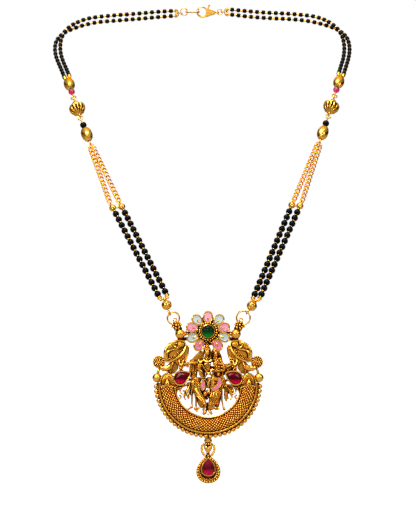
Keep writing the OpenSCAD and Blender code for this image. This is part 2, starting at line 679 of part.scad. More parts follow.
// Standing pair: the taller figure with crossed legs, and the companion at its side
module figures() {
  // Taller figure: crown, head, neck, chest, waist
  limb([-0.5, 19.4, 0.6], [-0.5, 17, 0.9], 0.8, 1.5);
  translate([-0.5, 14.6, 1.3]) scale([1.45, 1.8, 1.4]) sphere(r = 1, $fn = 12);
  limb([-0.5, 14, 0.8], [-0.4, 11.4, 0.6], 0.9, 1.2);
  limb([-3.1, 10.6, 0.46], [2, 10.9, 0.43], 1.1, 1.1);
  limb([-0.4, 9.8, 0.6], [-0.2, 6, 0.4], 2, 1.3);
  limb([-0.2, 6, 0.4], [0.2, 3.6, 0.4], 1.4, 1.7);
  // Arms of the taller figure
  limb([-3.2, 10.6, 0.5], [-6.6, 9.6, 0.8], 1.1, 0.9);
  limb([-6.6, 9.6, 0.8], [-10, 8.6, 0.9], 0.9, 0.75);
  limb([-3.6, 10, 0.6], [-4.4, 6.4, 1], 1, 0.85);
  limb([-4.4, 6.4, 1], [-2.6, 3.6, 1.4], 0.85, 0.7);
  // Crossed legs and feet
  limb([-3.4, 1.4, 0.7], [-4.4, -2, 0.9], 2.6, 1.7);
  limb([-4.4, -2, 0.9], [-1.2, -9.4, 0.9], 1.7, 0.9);
  limb([-1.2, -9.4, 0.9], [-2.6, -12.4, 0.6], 0.8, 0.7);
  limb([3.2, 0.6, 0.7], [3.6, -3, 0.9], 3, 2.2);
  limb([3.6, -3, 0.9], [1.6, -11.4, 0.9], 2.2, 1.2);
  limb([-2.2, -13.2, 0.6], [-0.6, -13.7, 1.4], 1, 0.8);
  limb([0.8, -12.6, 0.8], [1.6, -13.8, 1.6], 1, 0.8);
  limb([-0.2, 2.3, 0.9], [0.4, -3.6, 1.2], 1.1, 0.9);
  // Companion at the right: head, body, arm and skirt
  limb([4.4, 17, 0], [5, 15, 0.2], 1.1, 1.5);
  limb([5, 15.4, 0.2], [5.9, 8, 0.2], 1.7, 1.9);
  limb([5.9, 8.2, 0.4], [5, 4.6, 0.8], 1.9, 1.2);
  limb([7.4, 9.4, 0.2], [8, 5, 0.4], 0.9, 0.8);
  limb([8, 5, 0.4], [5.2, 4.2, 1], 0.8, 0.8);
  limb([7.2, 3, -0.6], [8.2, -3.4, -0.8], 1, 0.7);
  // Veil and drapery behind, plain plates
  hull() {
    translate([-3.6, 16.6, back_w + 0.04]) cylinder(h = 1.3, r = 1.2, $fn = 6);
    translate([-9.4, 8.8, back_w + 0.04]) cylinder(h = 1.3, r = 0.7, $fn = 6);
    translate([-3.8, 9, back_w + 0.04]) cylinder(h = 1.3, r = 1, $fn = 6);
  }
  hull() {
    translate([6.6, 12, back_w + 0.1]) cylinder(h = 1.3, r = 1.6, $fn = 6);
    translate([8.6, 5.6, back_w + 0.1]) cylinder(h = 1.3, r = 0.8, $fn = 6);
    translate([4, 6, back_w + 0.1]) cylinder(h = 1.3, r = 1, $fn = 6);
  }
  hull() {
    translate([0, 3, back_w + 0.16]) cylinder(h = 1.3, r = 3, $fn = 6);
    translate([-5.4, 2, back_w + 0.16]) cylinder(h = 1.3, r = 1.4, $fn = 6);
    translate([-8.6, -1.4, back_w + 0.16]) cylinder(h = 1.3, r = 0.8, $fn = 6);
  }
  hull() {
    translate([2, 3, back_w + 0.22]) cylinder(h = 1.3, r = 3, $fn = 6);
    translate([7.8, 0.8, back_w + 0.22]) cylinder(h = 1.3, r = 1.2, $fn = 6);
  }
  hull() {
    translate([-6, -3, back_w + 0.28]) cylinder(h = 1.3, r = 0.8, $fn = 6);
    translate([-2, -11, back_w + 0.28]) cylinder(h = 1.3, r = 1, $fn = 6);
    translate([-1, -4, back_w + 0.28]) cylinder(h = 1.3, r = 1, $fn = 6);
  }
  hull() {
    translate([7.4, -3.6, back_w + 0.34]) cylinder(h = 1.3, r = 0.7, $fn = 6);
    translate([4.6, -11, back_w + 0.34]) cylinder(h = 1.3, r = 1, $fn = 6);
    translate([3, -4, back_w + 0.34]) cylinder(h = 1.3, r = 1, $fn = 6);
  }
}

// Hanging sashes of the figures, each with a ball at its foot
module sashes() {
  for (i = [0 : len(sash_from) - 1]) {
    limb(sash_from[i], sash_to[i], 0.7, 0.5);
    translate(sash_to[i]) granule(0.95);
  }
}

// What ties the figures, stones and wings to the crescent
module struts() {
  limb([-9.4, 8.8, -0.4], [-12.4, 8.2, -0.6], 0.8, 0.9);
  limb([8.4, 5.8, -0.6], [11.8, 8.4, -0.8], 0.7, 0.9);
  limb([-8.4, 0.4, -0.8], [-10.4, 2.4, -0.8], 0.7, 0.9);
  limb([8, 1, -0.8], [10.2, 2.2, -0.8], 0.7, 0.9);
  mirrored() {
    limb([15.4, 1.4, -0.8], [17.2, -1.4, -0.6], 0.8, 0.8);
    limb([13.2, 6, -0.8], [14, 8.4, -1], 0.8, 0.7);
    limb([18.8, 4.6, -0.6], [19.4, 7, -0.4], 1, 1);
    limb([24.6, 5.6, -0.4], [end_ball_at[0], end_ball_at[1], 0], 1, 1.2);
    limb([22.4, 2.4, -0.4], [end_ball_at[0], end_ball_at[1], 0], 1.2, 1.2);
    limb([ball_at[0], ball_at[1], 0], [13.2, 21.6, -0.2], 1.1, 1.1);
    limb([ball_at[0], ball_at[1], -0.2], [9.6, 24.6, -0.2], 1, 0.9);
    translate([11.6, 25.6, 0.4]) granule(0.7);
  }
  limb([-0.4, 18.4, 0], [0, 20.4, -0.4], 1, 1.4);
  limb([-8.6, -11, -0.6], [-10.6, -12.8, -0.8], 0.7, 0.9);
  limb([13.4, -5.2, -0.4], [15.6, -7.2, -0.6], 0.7, 0.9);
  limb([-10.4, -3.4, -0.2], [-15.4, -7.4, -0.6], 0.7, 0.9);
}

module pendant_setting() {
  color(old_gold) on_pendant() union() {
    crescent();
    rim();
    mirrored() {
      horn_cap();
      wing();
      fan();
      bail();
      translate([ball_at[0], ball_at[1], 0.4]) sphere(r = plain_ball_r, $fn = 10);
      translate([end_ball_at[0], end_ball_at[1], 0]) sphere(r = plain_ball_r, $fn = 10);
      pear_place() translate([0, 0, -1.4]) pear_bezel(pear_l, pear_w, 0.65, 3.2);
    }
    flower();
    figures();
    sashes();
    struts();
    drop_loop();
  }
}

// Loop under the crescent, behind the granules, for the drop
module drop_loop() {
  translate([drop_hinge[0], drop_hinge[1] + drop_loop_r, drop_hinge[2]])
    rotate_extrude($fn = 14) translate([drop_loop_r, 0]) circle(r = loop_wire, $fn = 6);
  translate([0, drop_hinge[1] + 2 * drop_loop_r + 0.6, drop_hinge[2]]) sphere(r = 0.7, $fn = 6);
}

module green_cabochon() {
  h = 1.9;
  r = green_d / 2;
  dome = (r * r + h * h) / (2 * h);
  color(green) on_pendant() translate([flower_at[0], flower_at[1], 1]) intersection() {
    cylinder(h = 4, r = r, $fn = 48);
    translate([0, 0, 0.6 + h - dome]) sphere(r = dome, $fn = 64);
  }
}

module side_pear(side) {
  on_pendant() mirror([side < 0 ? 1 : 0, 0, 0]) pear_place()
    translate([0, 0, 0.75]) pear_stone(pear_l, pear_w);
}

// Drop

module drop_setting() {
  eye_y = drop_hinge[1] - drop_loop_r + 2 * loop_wire + clear;
  l = drop_stone_l;
  w = drop_stone_w;
  n = 22;
  color(old_gold) on_pendant() translate([0, 0, drop_hinge[2]]) union() {
    translate([0, eye_y, 0]) rotate([0, 90, 0])
      rotate_extrude($fn = 14) translate([drop_loop_r, 0]) circle(r = loop_wire, $fn = 6);
    limb([0, eye_y - 1.6, 0], [0, -31, 0.2], 0.8, 1.2);
    for (i = [0 : 6])
      translate([1.2 * cos(i * 360 / 7), -29.7, 0.1 + sin(i * 360 / 7)]) granule(0.7);
    translate([0, -32.9, 0.3]) sphere(r = 2, $fn = 10);
    for (side = [-1, 1])
      for (i = [0 : 5])
        translate([side * (1.7 + 1.5 * sin(i * 30 + 15)), -30.6 - i * 1.05, 0]) granule(0.6);
    for (side = [-1, 1])
      limb([side * 2.6, -31.6, 0], [side * 2.6, -35, 0], 0.45, 0.45);
    limb([2.6, -35, 0], [0.6, -36.6, 0], 0.45, 0.7);
    limb([-2.6, -35, 0], [-0.6, -36.6, 0], 0.45, 0.7);
    limb([2.6, -31.6, 0], [0.6, -30.4, 0], 0.45, 0.7);
    limb([-2.6, -31.6, 0], [-0.6, -30.4, 0], 0.45, 0.7);
    limb([0, -34, 0], [0, -37, 0], 0.9, 0.9);
    translate([drop_rim_at[0], drop_rim_at[1], -1.2]) linear_extrude(height = 1.3)
      pear(drop_rim[0], drop_rim[1], 18, drop_fullness);
    translate([drop_rim_at[0], drop_rim_at[1], 0]) {
      for (i = [1 : n - 1])
        let (g = pear_spot(drop_rim[0] - 1.2, drop_rim[1] - 1.2, 360 * i / n, drop_fullness))
          translate([g[0], g[1], 0.3]) granule(0.68);
    }
    translate([drop_stone_at[0], drop_stone_at[1], 0]) {
      translate([0, -0.5, 0]) linear_extrude(height = 1.1, scale = 0.94)
        pear(l + 2.4, w + 2.2, 16, stone_fullness);
      translate([0, 0, -0.6]) pear_bezel(l, w, 0.55, 2.7);
    }
  }
}

module drop_stone() {
  on_pendant() translate([drop_stone_at[0], drop_stone_at[1], drop_hinge[2] + 1.22])
    pear_stone(drop_stone_l, drop_stone_w);
}

clasp_body();
clasp_lever();
clasp_link();
clasp_ring(left_clasp_ring_x, left_clasp_ring_r);  // clasp_ring_left
clasp_ring(right_clasp_ring_x, right_clasp_ring_r);  // clasp_ring_right
end_cap(left_cap_x, left_cap_z, -1);  // end_cap_left
end_cap(right_cap_x, 0, 1);  // end_cap_right
strand(left_outer_route);  // strand_left_outer
strand(left_inner_route);  // strand_left_inner
strand(right_outer_route);  // strand_right_outer
strand(right_inner_route);  // strand_right_inner
upper_oval(left_knuckle_1, left_top);  // upper_oval_left
upper_oval(right_knuckle_1, right_top);  // upper_oval_right
ruby_bead(left_knuckle_1, left_top);  // ruby_bead_left
ruby_bead(right_knuckle_1, right_top);  // ruby_bead_right
upper_pin(left_knuckle_1, left_top);  // upper_pin_left
upper_pin(right_knuckle_1, right_top);  // upper_pin_right
lantern_bead(left_knuckle_2, left_knuckle_1);  // lantern_bead_left
lantern_bead(right_knuckle_2, right_knuckle_1);  // lantern_bead_right
lantern_pin(left_knuckle_2, left_knuckle_1);  // lantern_pin_left
lantern_pin(right_knuckle_2, right_knuckle_1);  // lantern_pin_right
black_bead(left_knuckle_2, left_knuckle_3);  // black_bead_left
black_bead(right_knuckle_2, right_knuckle_3);  // black_bead_right
lower_oval(left_knuckle_2, left_knuckle_3);  // lower_oval_left
lower_oval(right_knuckle_2, right_knuckle_3);  // lower_oval_right
lower_pin(left_knuckle_2, left_knuckle_3);  // lower_pin_left
lower_pin(right_knuckle_2, right_knuckle_3);  // lower_pin_right
chain_ring(left_knuckle_2, left_knuckle_3);  // chain_ring_left
chain_ring(right_knuckle_2, right_knuckle_3);  // chain_ring_right
chain(ring_side(left_knuckle_2, left_knuckle_3, -1), eye_bottom(left_outer_ball, left_outer_end));  // chain_left_outer
chain(ring_side(left_knuckle_2, left_knuckle_3, 1), eye_bottom(left_inner_ball, left_inner_end));  // chain_left_inner
chain(ring_side(right_knuckle_2, right_knuckle_3, 1), eye_bottom(right_outer_ball, right_outer_end));  // chain_right_outer
chain(ring_side(right_knuckle_2, right_knuckle_3, -1), eye_bottom(right_inner_ball, right_inner_end));  // chain_right_inner
ball_pair(left_outer_ball, left_outer_end, left_inner_ball, left_inner_end);  // ball_pair_left
ball_pair(right_inner_ball, right_inner_end, right_outer_ball, right_outer_end);  // ball_pair_right
bead_string(left_outer_ball, left_outer_end);  // string_left_outer
bead_string(left_inner_ball, left_inner_end);  // string_left_inner
bead_string(right_outer_ball, right_outer_end);  // string_right_outer
bead_string(right_inner_ball, right_inner_end);  // string_right_inner
string_wire(left_outer_ball, left_outer_end);  // string_wire_left_outer
string_wire(left_inner_ball, left_inner_end);  // string_wire_left_inner
string_wire(right_outer_ball, right_outer_end);  // string_wire_right_outer
string_wire(right_inner_ball, right_inner_end);  // string_wire_right_inner
end_cups(left_outer_ball, left_outer_end, left_inner_ball, left_inner_end, left_bead, left_hang);  // end_cups_left
end_cups(right_inner_ball, right_inner_end, right_outer_ball, right_outer_end, right_bead, right_hang);  // end_cups_right
round_bead(left_bead, left_hang);  // round_bead_left
round_bead(right_bead, right_hang);  // round_bead_right
end_pin(left_bead, left_hang, [0.747, 0, 0.664]);  // end_pin_left
end_pin(right_bead, right_hang, [0.793, 0, -0.61]);  // end_pin_right
jump_ring(left_ring, left_ring_r);  // jump_ring_left
jump_ring(right_ring, right_ring_r);  // jump_ring_right
pendant_setting();
green_cabochon();
color(pink) petal_stones(true);  // pink_stones
color(aqua) petal_stones(false);  // aqua_stones
side_pear(-1);  // pear_stone_left
side_pear(1);  // pear_stone_right
drop_setting();
drop_stone();
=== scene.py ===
import math
import random

import bpy
import numpy as np
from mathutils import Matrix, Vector
from mathutils.bvhtree import BVHTree


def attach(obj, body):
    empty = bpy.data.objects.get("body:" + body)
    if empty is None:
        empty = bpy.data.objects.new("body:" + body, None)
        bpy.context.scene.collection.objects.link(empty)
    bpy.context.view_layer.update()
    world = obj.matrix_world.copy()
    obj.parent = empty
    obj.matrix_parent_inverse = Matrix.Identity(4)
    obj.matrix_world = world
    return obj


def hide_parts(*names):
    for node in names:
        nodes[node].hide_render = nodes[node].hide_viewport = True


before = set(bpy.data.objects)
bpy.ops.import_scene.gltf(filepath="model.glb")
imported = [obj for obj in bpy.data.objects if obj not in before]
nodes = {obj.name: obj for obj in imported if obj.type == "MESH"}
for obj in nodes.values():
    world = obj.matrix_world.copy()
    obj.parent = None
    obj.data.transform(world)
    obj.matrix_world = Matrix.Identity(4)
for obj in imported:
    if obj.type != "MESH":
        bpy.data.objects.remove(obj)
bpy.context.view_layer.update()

# Studio: a pale floor and a bright white surround, with soft lamps above, at both sides
# and in front. The camera stands level with the middle of the necklace, as far off as in
# the photograph.


class Field:
    """A value or colour that varies over a surface. Arithmetic on it adds shader nodes."""

    def __init__(self, finish, socket):
        self.finish, self.socket = finish, socket

    def maths(self, operation, first, second=0.0):
        return self.finish.node(
            "ShaderNodeMath", {"operation": operation}, {0: first, 1: second}
        )

    def __add__(self, other):
        return self.maths("ADD", self, other)

    __radd__ = __add__

    def __sub__(self, other):
        return self.maths("SUBTRACT", self, other)

    def __rsub__(self, other):
        return self.maths("SUBTRACT", other, self)

    def __mul__(self, other):
        return self.maths("MULTIPLY", self, other)

    __rmul__ = __mul__

    def __pow__(self, other):
        return self.maths("POWER", self, other)

    def clamp(self):
        return self.maths("MINIMUM", self.maths("MAXIMUM", self, 0.0), 1.0)


class Finish:
    """A node tree, of the surround or of one finish, that is wired by plain expressions."""

    def __init__(self, tree):
        self.tree = tree

    def node(self, kind, settings, values, output=0):
        made = self.tree.nodes.new(kind)
        for key, value in settings.items():
            if key == "stops":
                while len(made.color_ramp.elements) < len(value):
                    made.color_ramp.elements.new(0.5)
                for element, (place, colour) in zip(made.color_ramp.elements, value):
                    element.position, element.color = place, (*colour, 1)
            else:
                setattr(made, key, value)
        for key, value in values.items():
            self.feed(made.inputs[key], value)
        return Field(self, made.outputs[output])

    def feed(self, socket, value):
        if isinstance(value, Field):
            self.tree.links.new(value.socket, socket)
        else:
            socket.default_value = value

    def blend(self, share, low, high):
        low, high = (v if isinstance(v, Field) else (*v, 1) for v in (low, high))
        settings = {"data_type": "RGBA"}
        return self.node("ShaderNodeMix", settings, {0: share, 6: low, 7: high}, 2)

    def ramp(self, value, stops):
        return self.node("ShaderNodeValToRGB", {"stops": stops}, {0: value})

    def place(self):
        """Where a point of the surface lies on its own piece."""
        return self.node("ShaderNodeTexCoord", {}, {}, 3)

    def cloud(self, scale, detail=2.0):
        """Soft noise from 0 to 1, fixed to the piece."""
        values = {"Vector": self.place(), "Scale": scale, "Detail": detail}
        return self.node("ShaderNodeTexNoise", {}, values)


class Surface(Finish):
    """A new material, painted by the names of its shader's sockets."""

    def __init__(self, name):
        self.material = bpy.data.materials.new(name)
        self.material.use_nodes = True
        super().__init__(self.material.node_tree)

    def paint(self, sockets):
        for name, value in sockets.items():
            self.feed(self.tree.nodes["Principled BSDF"].inputs[name], value)
        return self.material


scene = bpy.context.scene
scene.view_settings.view_transform = "Standard"


def put(name, data, place=(0, 0, 0), turn=(0, 0, 0)):
    """Puts a camera, lamp or floor into the scene."""
    made = bpy.data.objects.new(name, data)
    scene.collection.objects.link(made)
    made.location, made.rotation_euler = place, turn
    return made


level_view = (math.radians(90), 0, 0)
scene.camera = put("camera", bpy.data.cameras.new("camera"), (0, -1.345, -0.139), level_view)
scene.camera.data.lens = 166.15

scene.world = bpy.data.worlds.new("surround")
scene.world.use_nodes = True
surround = Finish(scene.world.node_tree)
direction = surround.node("ShaderNodeTexCoord", {}, {})
ahead, height = (
    surround.node("ShaderNodeSeparateXYZ", {}, {0: direction}, axis) for axis in (1, 2)
)
level = (
    0.012 + 0.5 * (0.0 - ahead).clamp() ** 3.5 + 0.95 * height.clamp() ** 2.0
    + 0.07 * (0.0 - height).clamp() ** 1.5
)
glow = surround.ramp(level, [(0, (0, 0, 0)), (1, (1, 0.98, 0.95))])
white = (1, 1, 1)
seen = surround.node("ShaderNodeLightPath", {}, {})
backdrop = surround.tree.nodes["Background"].inputs
surround.feed(backdrop["Color"], surround.blend(seen, glow, white))
surround.feed(backdrop["Strength"], 1.0)

lit_spot = Vector((0, -0.12, -0.17))
for side, place, size, watts in (
    ("top", (-0.1, -0.5, 0.75), (0.55, 0.35), 8.5),
    ("left", (-0.75, -0.85, 0.3), (0.16, 0.5), 3.2),
    ("right", (0.8, -0.8, 0.35), (0.16, 0.5), 2.6),
    ("front", (-0.18, -1.3, 0.25), (0.16, 0.16), 1.4),
    ("back", (0.0, 0.9, 0.6), (1.0, 0.6), 2.0),
):
    lamp = bpy.data.lights.new("lamp_" + side, "AREA")
    lamp.shape, lamp.energy = "RECTANGLE", watts
    lamp.size, lamp.size_y = size
    aim = (lit_spot - Vector(place)).to_track_quat("-Z", "Y").to_euler()
    put("lamp_" + side, lamp, place, aim)

floor_mesh = bpy.data.meshes.new("floor")
reach, floor_height = 6, -0.3
corners = [(-reach, -reach), (reach, -reach), (reach, reach), (-reach, reach)]
floor_mesh.from_pydata([(x, y, floor_height) for x, y in corners], [], [(0, 1, 2, 3)])
pale = Surface("pale_floor")
pale_seen = pale.node("ShaderNodeLightPath", {}, {})
floor_mesh.materials.append(pale.paint({
    "Base Color": (0.35, 0.35, 0.35, 1),
    "Roughness": 0.9,
    "Emission Color": pale.blend(pale_seen, (0.06, 0.055, 0.05), white),
    "Emission Strength": 1.0,
}))
put("floor", floor_mesh)

# Clasp row: lobster clasp with its lever, oblong link, two jump rings and the two end
# pieces of the strands. Bright polished gold-plated brass, cast and bent from wire.
MM = 0.001
metal_grain = 900.0


def metal(name, bright, deep, dark, roughness, reach, darkening=0.0, chased=False):
    """Gold over brass, antiqued with painted light: a pale painted highlight on what stands out,
    and brown, partly patina and partly painted shade, in what lies deeper than reach, in
    millimetres, or where the mesh's own "rise" is low. Noise adds wear; darkening shifts the whole
    tone darker."""
    surface = Surface(name)
    cloud = surface.cloud(metal_grain, 3.0)
    open_sky = surface.node(
        "ShaderNodeAmbientOcclusion", {"samples": 8}, {"Distance": reach * MM}, 1
    )
    # Chased pieces: their relief value paints highlights on the raised parts and shade in the
    # pits.
    if chased:
        rise = surface.node("ShaderNodeAttribute", {"attribute_name": "rise"}, {}, 2)
        open_sky = open_sky * 0.25 + rise
    # Painted light and wear: occlusion and relief give painted shade and highlight, noise adds
    # wear at random.
    painted_light_and_wear = (open_sky + (cloud - 0.5) * 0.2 - darkening).clamp()
    bumps = {"Strength": 0.12, "Distance": 0.04 * MM, "Height": surface.cloud(metal_grain * 2.5)}
    return surface.paint({
        "Metallic": 1.0,
        "Specular Tint": (1.0, 0.42, 0.06, 1.0),
        "Base Color": surface.ramp(painted_light_and_wear, [(0.48, dark), (0.7, deep), (0.9, bright)]),
        "Roughness": roughness + (1 - painted_light_and_wear) * 0.25 + (cloud - 0.5) * 0.12,
        "Normal": surface.node("ShaderNodeBump", {}, bumps),
    })


polished_gold = metal(
    "polished_gold", (1.0, 0.52, 0.075), (0.86, 0.29, 0.01), (0.04, 0.008, 0.0006),
    0.18, 0.8, -0.08
)


def dress(material, *names):
    """Gives carried-over solids their finish."""
    for name in names:
        mesh = nodes[name].data
        mesh.materials.clear()
        mesh.materials.append(material)


dress(
    polished_gold, "clasp_body", "clasp_lever", "clasp_link", "clasp_ring_left",
    "clasp_ring_right", "end_cap_left", "end_cap_right",
)

# Long strands: two rows of glossy black seed beads on each side with a short gold bar
# between each two, threaded on a thin cord. They run over the shoulders to the end
# pieces at the nape.


class Cast:
    """Gathers the forms of one piece, in millimetres, into one mesh."""

    def __init__(self):
        self.points, self.faces, self.total = [], [], 0

    def add(self, form):
        points, faces = form
        self.faces += [[i + self.total for i in face] for face in faces]
        self.points.append(np.asarray(points, float))
        self.total += len(points)
        return self

    def seat(self, form, at, axis, side=(0, -1, 0.01)):
        return self.add(placed(form, at, axis, side))

    def wire(self, path, radius, sides=8, **how):
        return self.add(drawn(path, radius, sides, **how))

    def piece(self, name, material, body, slot, *stands_for, sharp=40, flat=False):
        mesh = bpy.data.meshes.new(name)
        mesh.from_pydata((np.vstack(self.points) * MM).tolist(), [], self.faces)
        mesh.materials.append(material)
        if not flat:
            mesh.shade_smooth()
            mesh.set_sharp_from_angle(angle=math.radians(sharp))
        made = put(name, mesh)
        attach(made, body)
        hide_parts(*stands_for)
        return made


def turned(profile, sides, closed=False):
    """A form turned on the Z axis from pairs of radius and height, from its foot upwards."""
    points, faces, rings = [], [], []
    for radius, high in profile:
        count = sides if radius > 1e-6 else 1
        rings.append(list(range(len(points), len(points) + count)))
        for a in math.tau * np.arange(count) / sides:
            points.append((radius * math.cos(a), radius * math.sin(a), high))
    if closed:
        rings.append(rings[0])
    for low, high in zip(rings, rings[1:]):
        for k in range(sides):
            n = (k + 1) % sides
            face = low[k % len(low)], low[n % len(low)], high[n % len(high)], high[k % len(high)]
            if len(set(face)) > 2:
                faces.append(list(dict.fromkeys(face)))
    return np.array(points, float), faces


def unit(v):
    v = np.asarray(v, float)
    return v / np.linalg.norm(v)


def axes(axis, side=(0, -1, 0.01)):
    """Three square directions: the last lies along axis, the middle one nearest to side."""
    z = unit(axis)
    y = unit(np.asarray(side, float) - np.dot(side, z) * z)
    return np.array([np.cross(y, z), y, z])


def placed(form, at, axis, side=(0, -1, 0.01)):
    """A form with its Z axis along axis and its foot point at the place."""
    points, faces = form
    return points @ axes(axis, side) + np.asarray(at, float), faces


def ball(radius, rows=8, sides=12, squeeze=1.0):
    steps = [math.pi * (i / rows - 0.5) for i in range(rows + 1)]
    return turned(
        [(max(radius * math.cos(a), 0), squeeze * radius * math.sin(a)) for a in steps], sides
    )


def ring_form(radius, wire, around=40, sides=12):
    """A round ring of round wire about the Z axis."""
    turn = math.tau * np.arange(sides) / sides
    return turned(list(zip(radius + wire * np.cos(turn), wire * np.sin(turn))), around, True)


def smooth_path(knots, steps, closed=False):
    """Points on a smooth line through the knots, steps of them for each span."""
    knots = np.asarray(knots, float)
    if closed:
        wide = np.vstack([knots[-1:], knots, knots[:2]])
    else:
        wide = np.vstack([2 * knots[0] - knots[1], knots, 2 * knots[-1] - knots[-2]])
    t = (np.arange(steps) / steps)[:, None]
    line = [
        0.5 * (2 * b + (c - a) * t + (2 * a - 5 * b + 4 * c - d) * t**2
               + (3 * b - a - 3 * c + d) * t**3)
        for a, b, c, d in zip(wide, wide[1:], wide[2:], wide[3:])
    ]
    return np.vstack(line if closed else [*line, knots[-1:]])


def stations(path, count):
    """Places and directions at equal spacing along a path, the first half a pitch in."""
    legs = np.linalg.norm(np.diff(path, axis=0), axis=1)
    along = np.concatenate([[0], np.cumsum(legs)])
    marks = (np.arange(count) + 0.5) / count * along[-1]
    before, place, after = (
        np.stack([np.interp(marks + shift, along, axis) for axis in path.T], 1)
        for shift in (-0.4, 0, 0.4)
    )
    return place, [unit(v) for v in after - before]


strand_routes = {
    "right_outer": [
        (73.3, -46.3, -38.8), (75.5, -38, -32.6), (76.9, -32, -28.4), (77.8, -26, -23.9),
        (77.8, -21, -19.8), (76.9, -16.4, -16), (74.6, -12.4, -12.9), (71.2, -9.2, -10.4),
        (66, -6.6, -8.2), (60, -5, -6.4), (53, -4.1, -5.1), (46, -3.5, -4.4), (39, -2.9, -4),
        (31, -2.2, -3.5), (23, -1.5, -2.8), (11.8, -0.5, -1.4)],
    "right_inner": [
        (70.8, -46.3, -37.9), (72.7, -38, -32.4), (74.1, -32, -28.2), (74.9, -26, -23.5),
        (74.9, -21, -19), (74, -16.4, -14.6), (71.6, -13, -10.4), (67.8, -10.2, -7),
        (63.6, -7.4, -4.6), (58.8, -5.4, -3), (52.6, -4.1, -2.1), (46, -3.5, -1.4),
        (39, -2.9, -1), (31, -2.2, -0.5), (23, -1.5, 0.2), (11.8, -0.5, 1.4)],
    "left_outer": [
        (-77.7, -46.1, -40.2), (-79.9, -38, -35.2), (-81.8, -32, -31.2), (-83.6, -26, -26.8),
        (-84.4, -21, -22.6), (-84.2, -16.4, -18.6), (-82.6, -12.4, -15.2), (-79.4, -9.2, -12.3),
        (-75, -6.8, -10), (-69, -5, -7.8), (-62, -4, -6.2), (-54, -3.4, -5.4), (-46, -2.7, -4.7),
        (-38, -2, -4), (-29, -1.2, -3.1), (-19, -0.4, -2.2)],
    "left_inner": [
        (-75.1, -46.1, -39.3), (-77.1, -38, -35), (-79, -32, -31), (-80.7, -26, -26.4),
        (-81.5, -21, -21.8), (-81.3, -16.4, -17.2), (-79.6, -13, -12.4), (-76.2, -10.4, -8.8),
        (-72.4, -7.6, -6.4), (-67.6, -5.4, -4.4), (-61.5, -4, -3.2), (-54, -3.4, -2.4),
        (-46, -2.7, -1.7), (-38, -2, -1), (-29, -1.2, -0.1), (-19, -0.4, 0.6)],
}

black_glass = Surface("black_glass")
black_cloud = black_glass.cloud(700.0)
black_tones = (0.0004, 0.0004, 0.0006), (0.0015, 0.0012, 0.0015)
black = black_glass.paint({
    "Base Color": black_glass.blend(black_cloud, *black_tones),
    "Roughness": 0.06 + black_cloud * 0.14,
    "Specular IOR Level": 0.09,
})

seed_bead = turned(
    [(0.36, -0.98), (0.72, -1.1), (1.02, -0.86), (1.18, -0.44), (1.2, 0), (1.18, 0.44),
     (1.02, 0.86), (0.72, 1.1), (0.36, 0.98)], 16, closed=True)
bar = turned([(0, -0.75), (0.3, -0.75), (0.46, -0.6), (0.5, 0), (0.46, 0.6), (0.3, 0.75),
              (0, 0.75)], 10)
strand_pitch = 3.55
for side_name, route in strand_routes.items():
    path = smooth_path(route, 10)
    length = np.linalg.norm(np.diff(path, axis=0), axis=1).sum()
    count = round(length / strand_pitch)
    beads, bars = Cast(), Cast()
    for at, axis in zip(*stations(path, count)):
        beads.seat(seed_bead, at, axis)
    place, aim = stations(path, 2 * count)
    between = [*(place[1:-1:2] + place[2::2]) / 2, path[-1]]
    for at, axis in zip(between, aim[1::2]):
        bars.seat(bar, at, axis)
    bars.seat(bar, path[0], aim[0])
    node = "strand_" + side_name
    beads.piece("seed_beads_" + side_name, black, "necklace", "black_glass", node)
    bars.piece("seed_bars_" + side_name, polished_gold, "necklace", "gold", node)

# Oval beads: pressed from gold and cut all over with small slanting facets, one above the
# red bead and one below the black one. The upper one carries the two cups of the strands.
knuckles = {
    "left": [(-76.6, -45.5, -39.2), (-71.7, -62, -52.8), (-67.8, -71, -63.1),
             (-61.7, -82.5, -78.3)],
    "right": [(72.3, -45.5, -37.6), (67.5, -62, -51.8), (64, -71, -62.2), (58.6, -82.8, -77.4)],
}


def along(start, end, reach):
    return np.asarray(start, float) + reach * unit(np.subtract(end, start))


def cut_oval(length=9.6, width=6.0, sides=11, hole=0.5):
    """An oval bead with slanting facets, its hole bevelled at both ends."""
    a, b = length / 2, width / 2
    steps = np.radians([-74, -56, -38, -19, 0, 19, 38, 56, 74])
    levels = [(hole, -0.93 * a), *zip(b * np.cos(steps), a * np.sin(steps)), (hole, 0.93 * a)]
    points, faces = [], []
    for i, (radius, high) in enumerate(levels):
        for k in range(sides):
            turn = math.tau * (k + 0.5 * i) / sides
            points.append((radius * math.cos(turn), radius * math.sin(turn), high))
    top = len(points) - sides
    for k in range(sides):
        n = (k + 1) % sides
        for low in range(0, top, sides):
            high = low + sides
            faces += [[low + k, low + n, high + k], [low + n, high + n, high + k]]
        faces.append([top + k, top + n, n, k])
    return np.array(points), faces


def oval(level, side, at, axis):
    name = f"{level}_oval_{side}"
    cut_name = f"{level}_oval_cut_{side}"
    cut = Cast().seat(cut_oval(), at, axis)
    cut.piece(cut_name, polished_gold, "necklace", "gold", name, flat=True)


collar = turned(
    [(0.5, -0.7), (1.2, -0.7), (1.35, -0.4), (1.35, 0.5), (1.2, 0.8), (0.5, 0.8)], 20, True)
cup = turned([(0, 0), (0.6, 0), (0.8, 0.2), (0.95, 1.1), (1.2, 1.8), (1.22, 1.95), (1.1, 2),
              (0.85, 1.3), (0.6, 0.9), (0, 0.9)], 18)
cup_spread = 1.35
for side, (top, k1, k2, k3) in knuckles.items():
    axis = np.subtract(top, k1)
    oval("upper", side, along(k1, top, 13.7), axis)
    cups = Cast().seat(collar, along(k1, top, 18.6), axis)
    for way in (-cup_spread, cup_spread):
        cups.seat(cup, along(k1, top, 18.9) + way * axes(axis)[0], axis)
    cups.piece("strand_cups_" + side, polished_gold, "necklace", "gold", "upper_oval_" + side)
    oval("lower", side, along(k2, k3, 12.6), np.subtract(k3, k2))
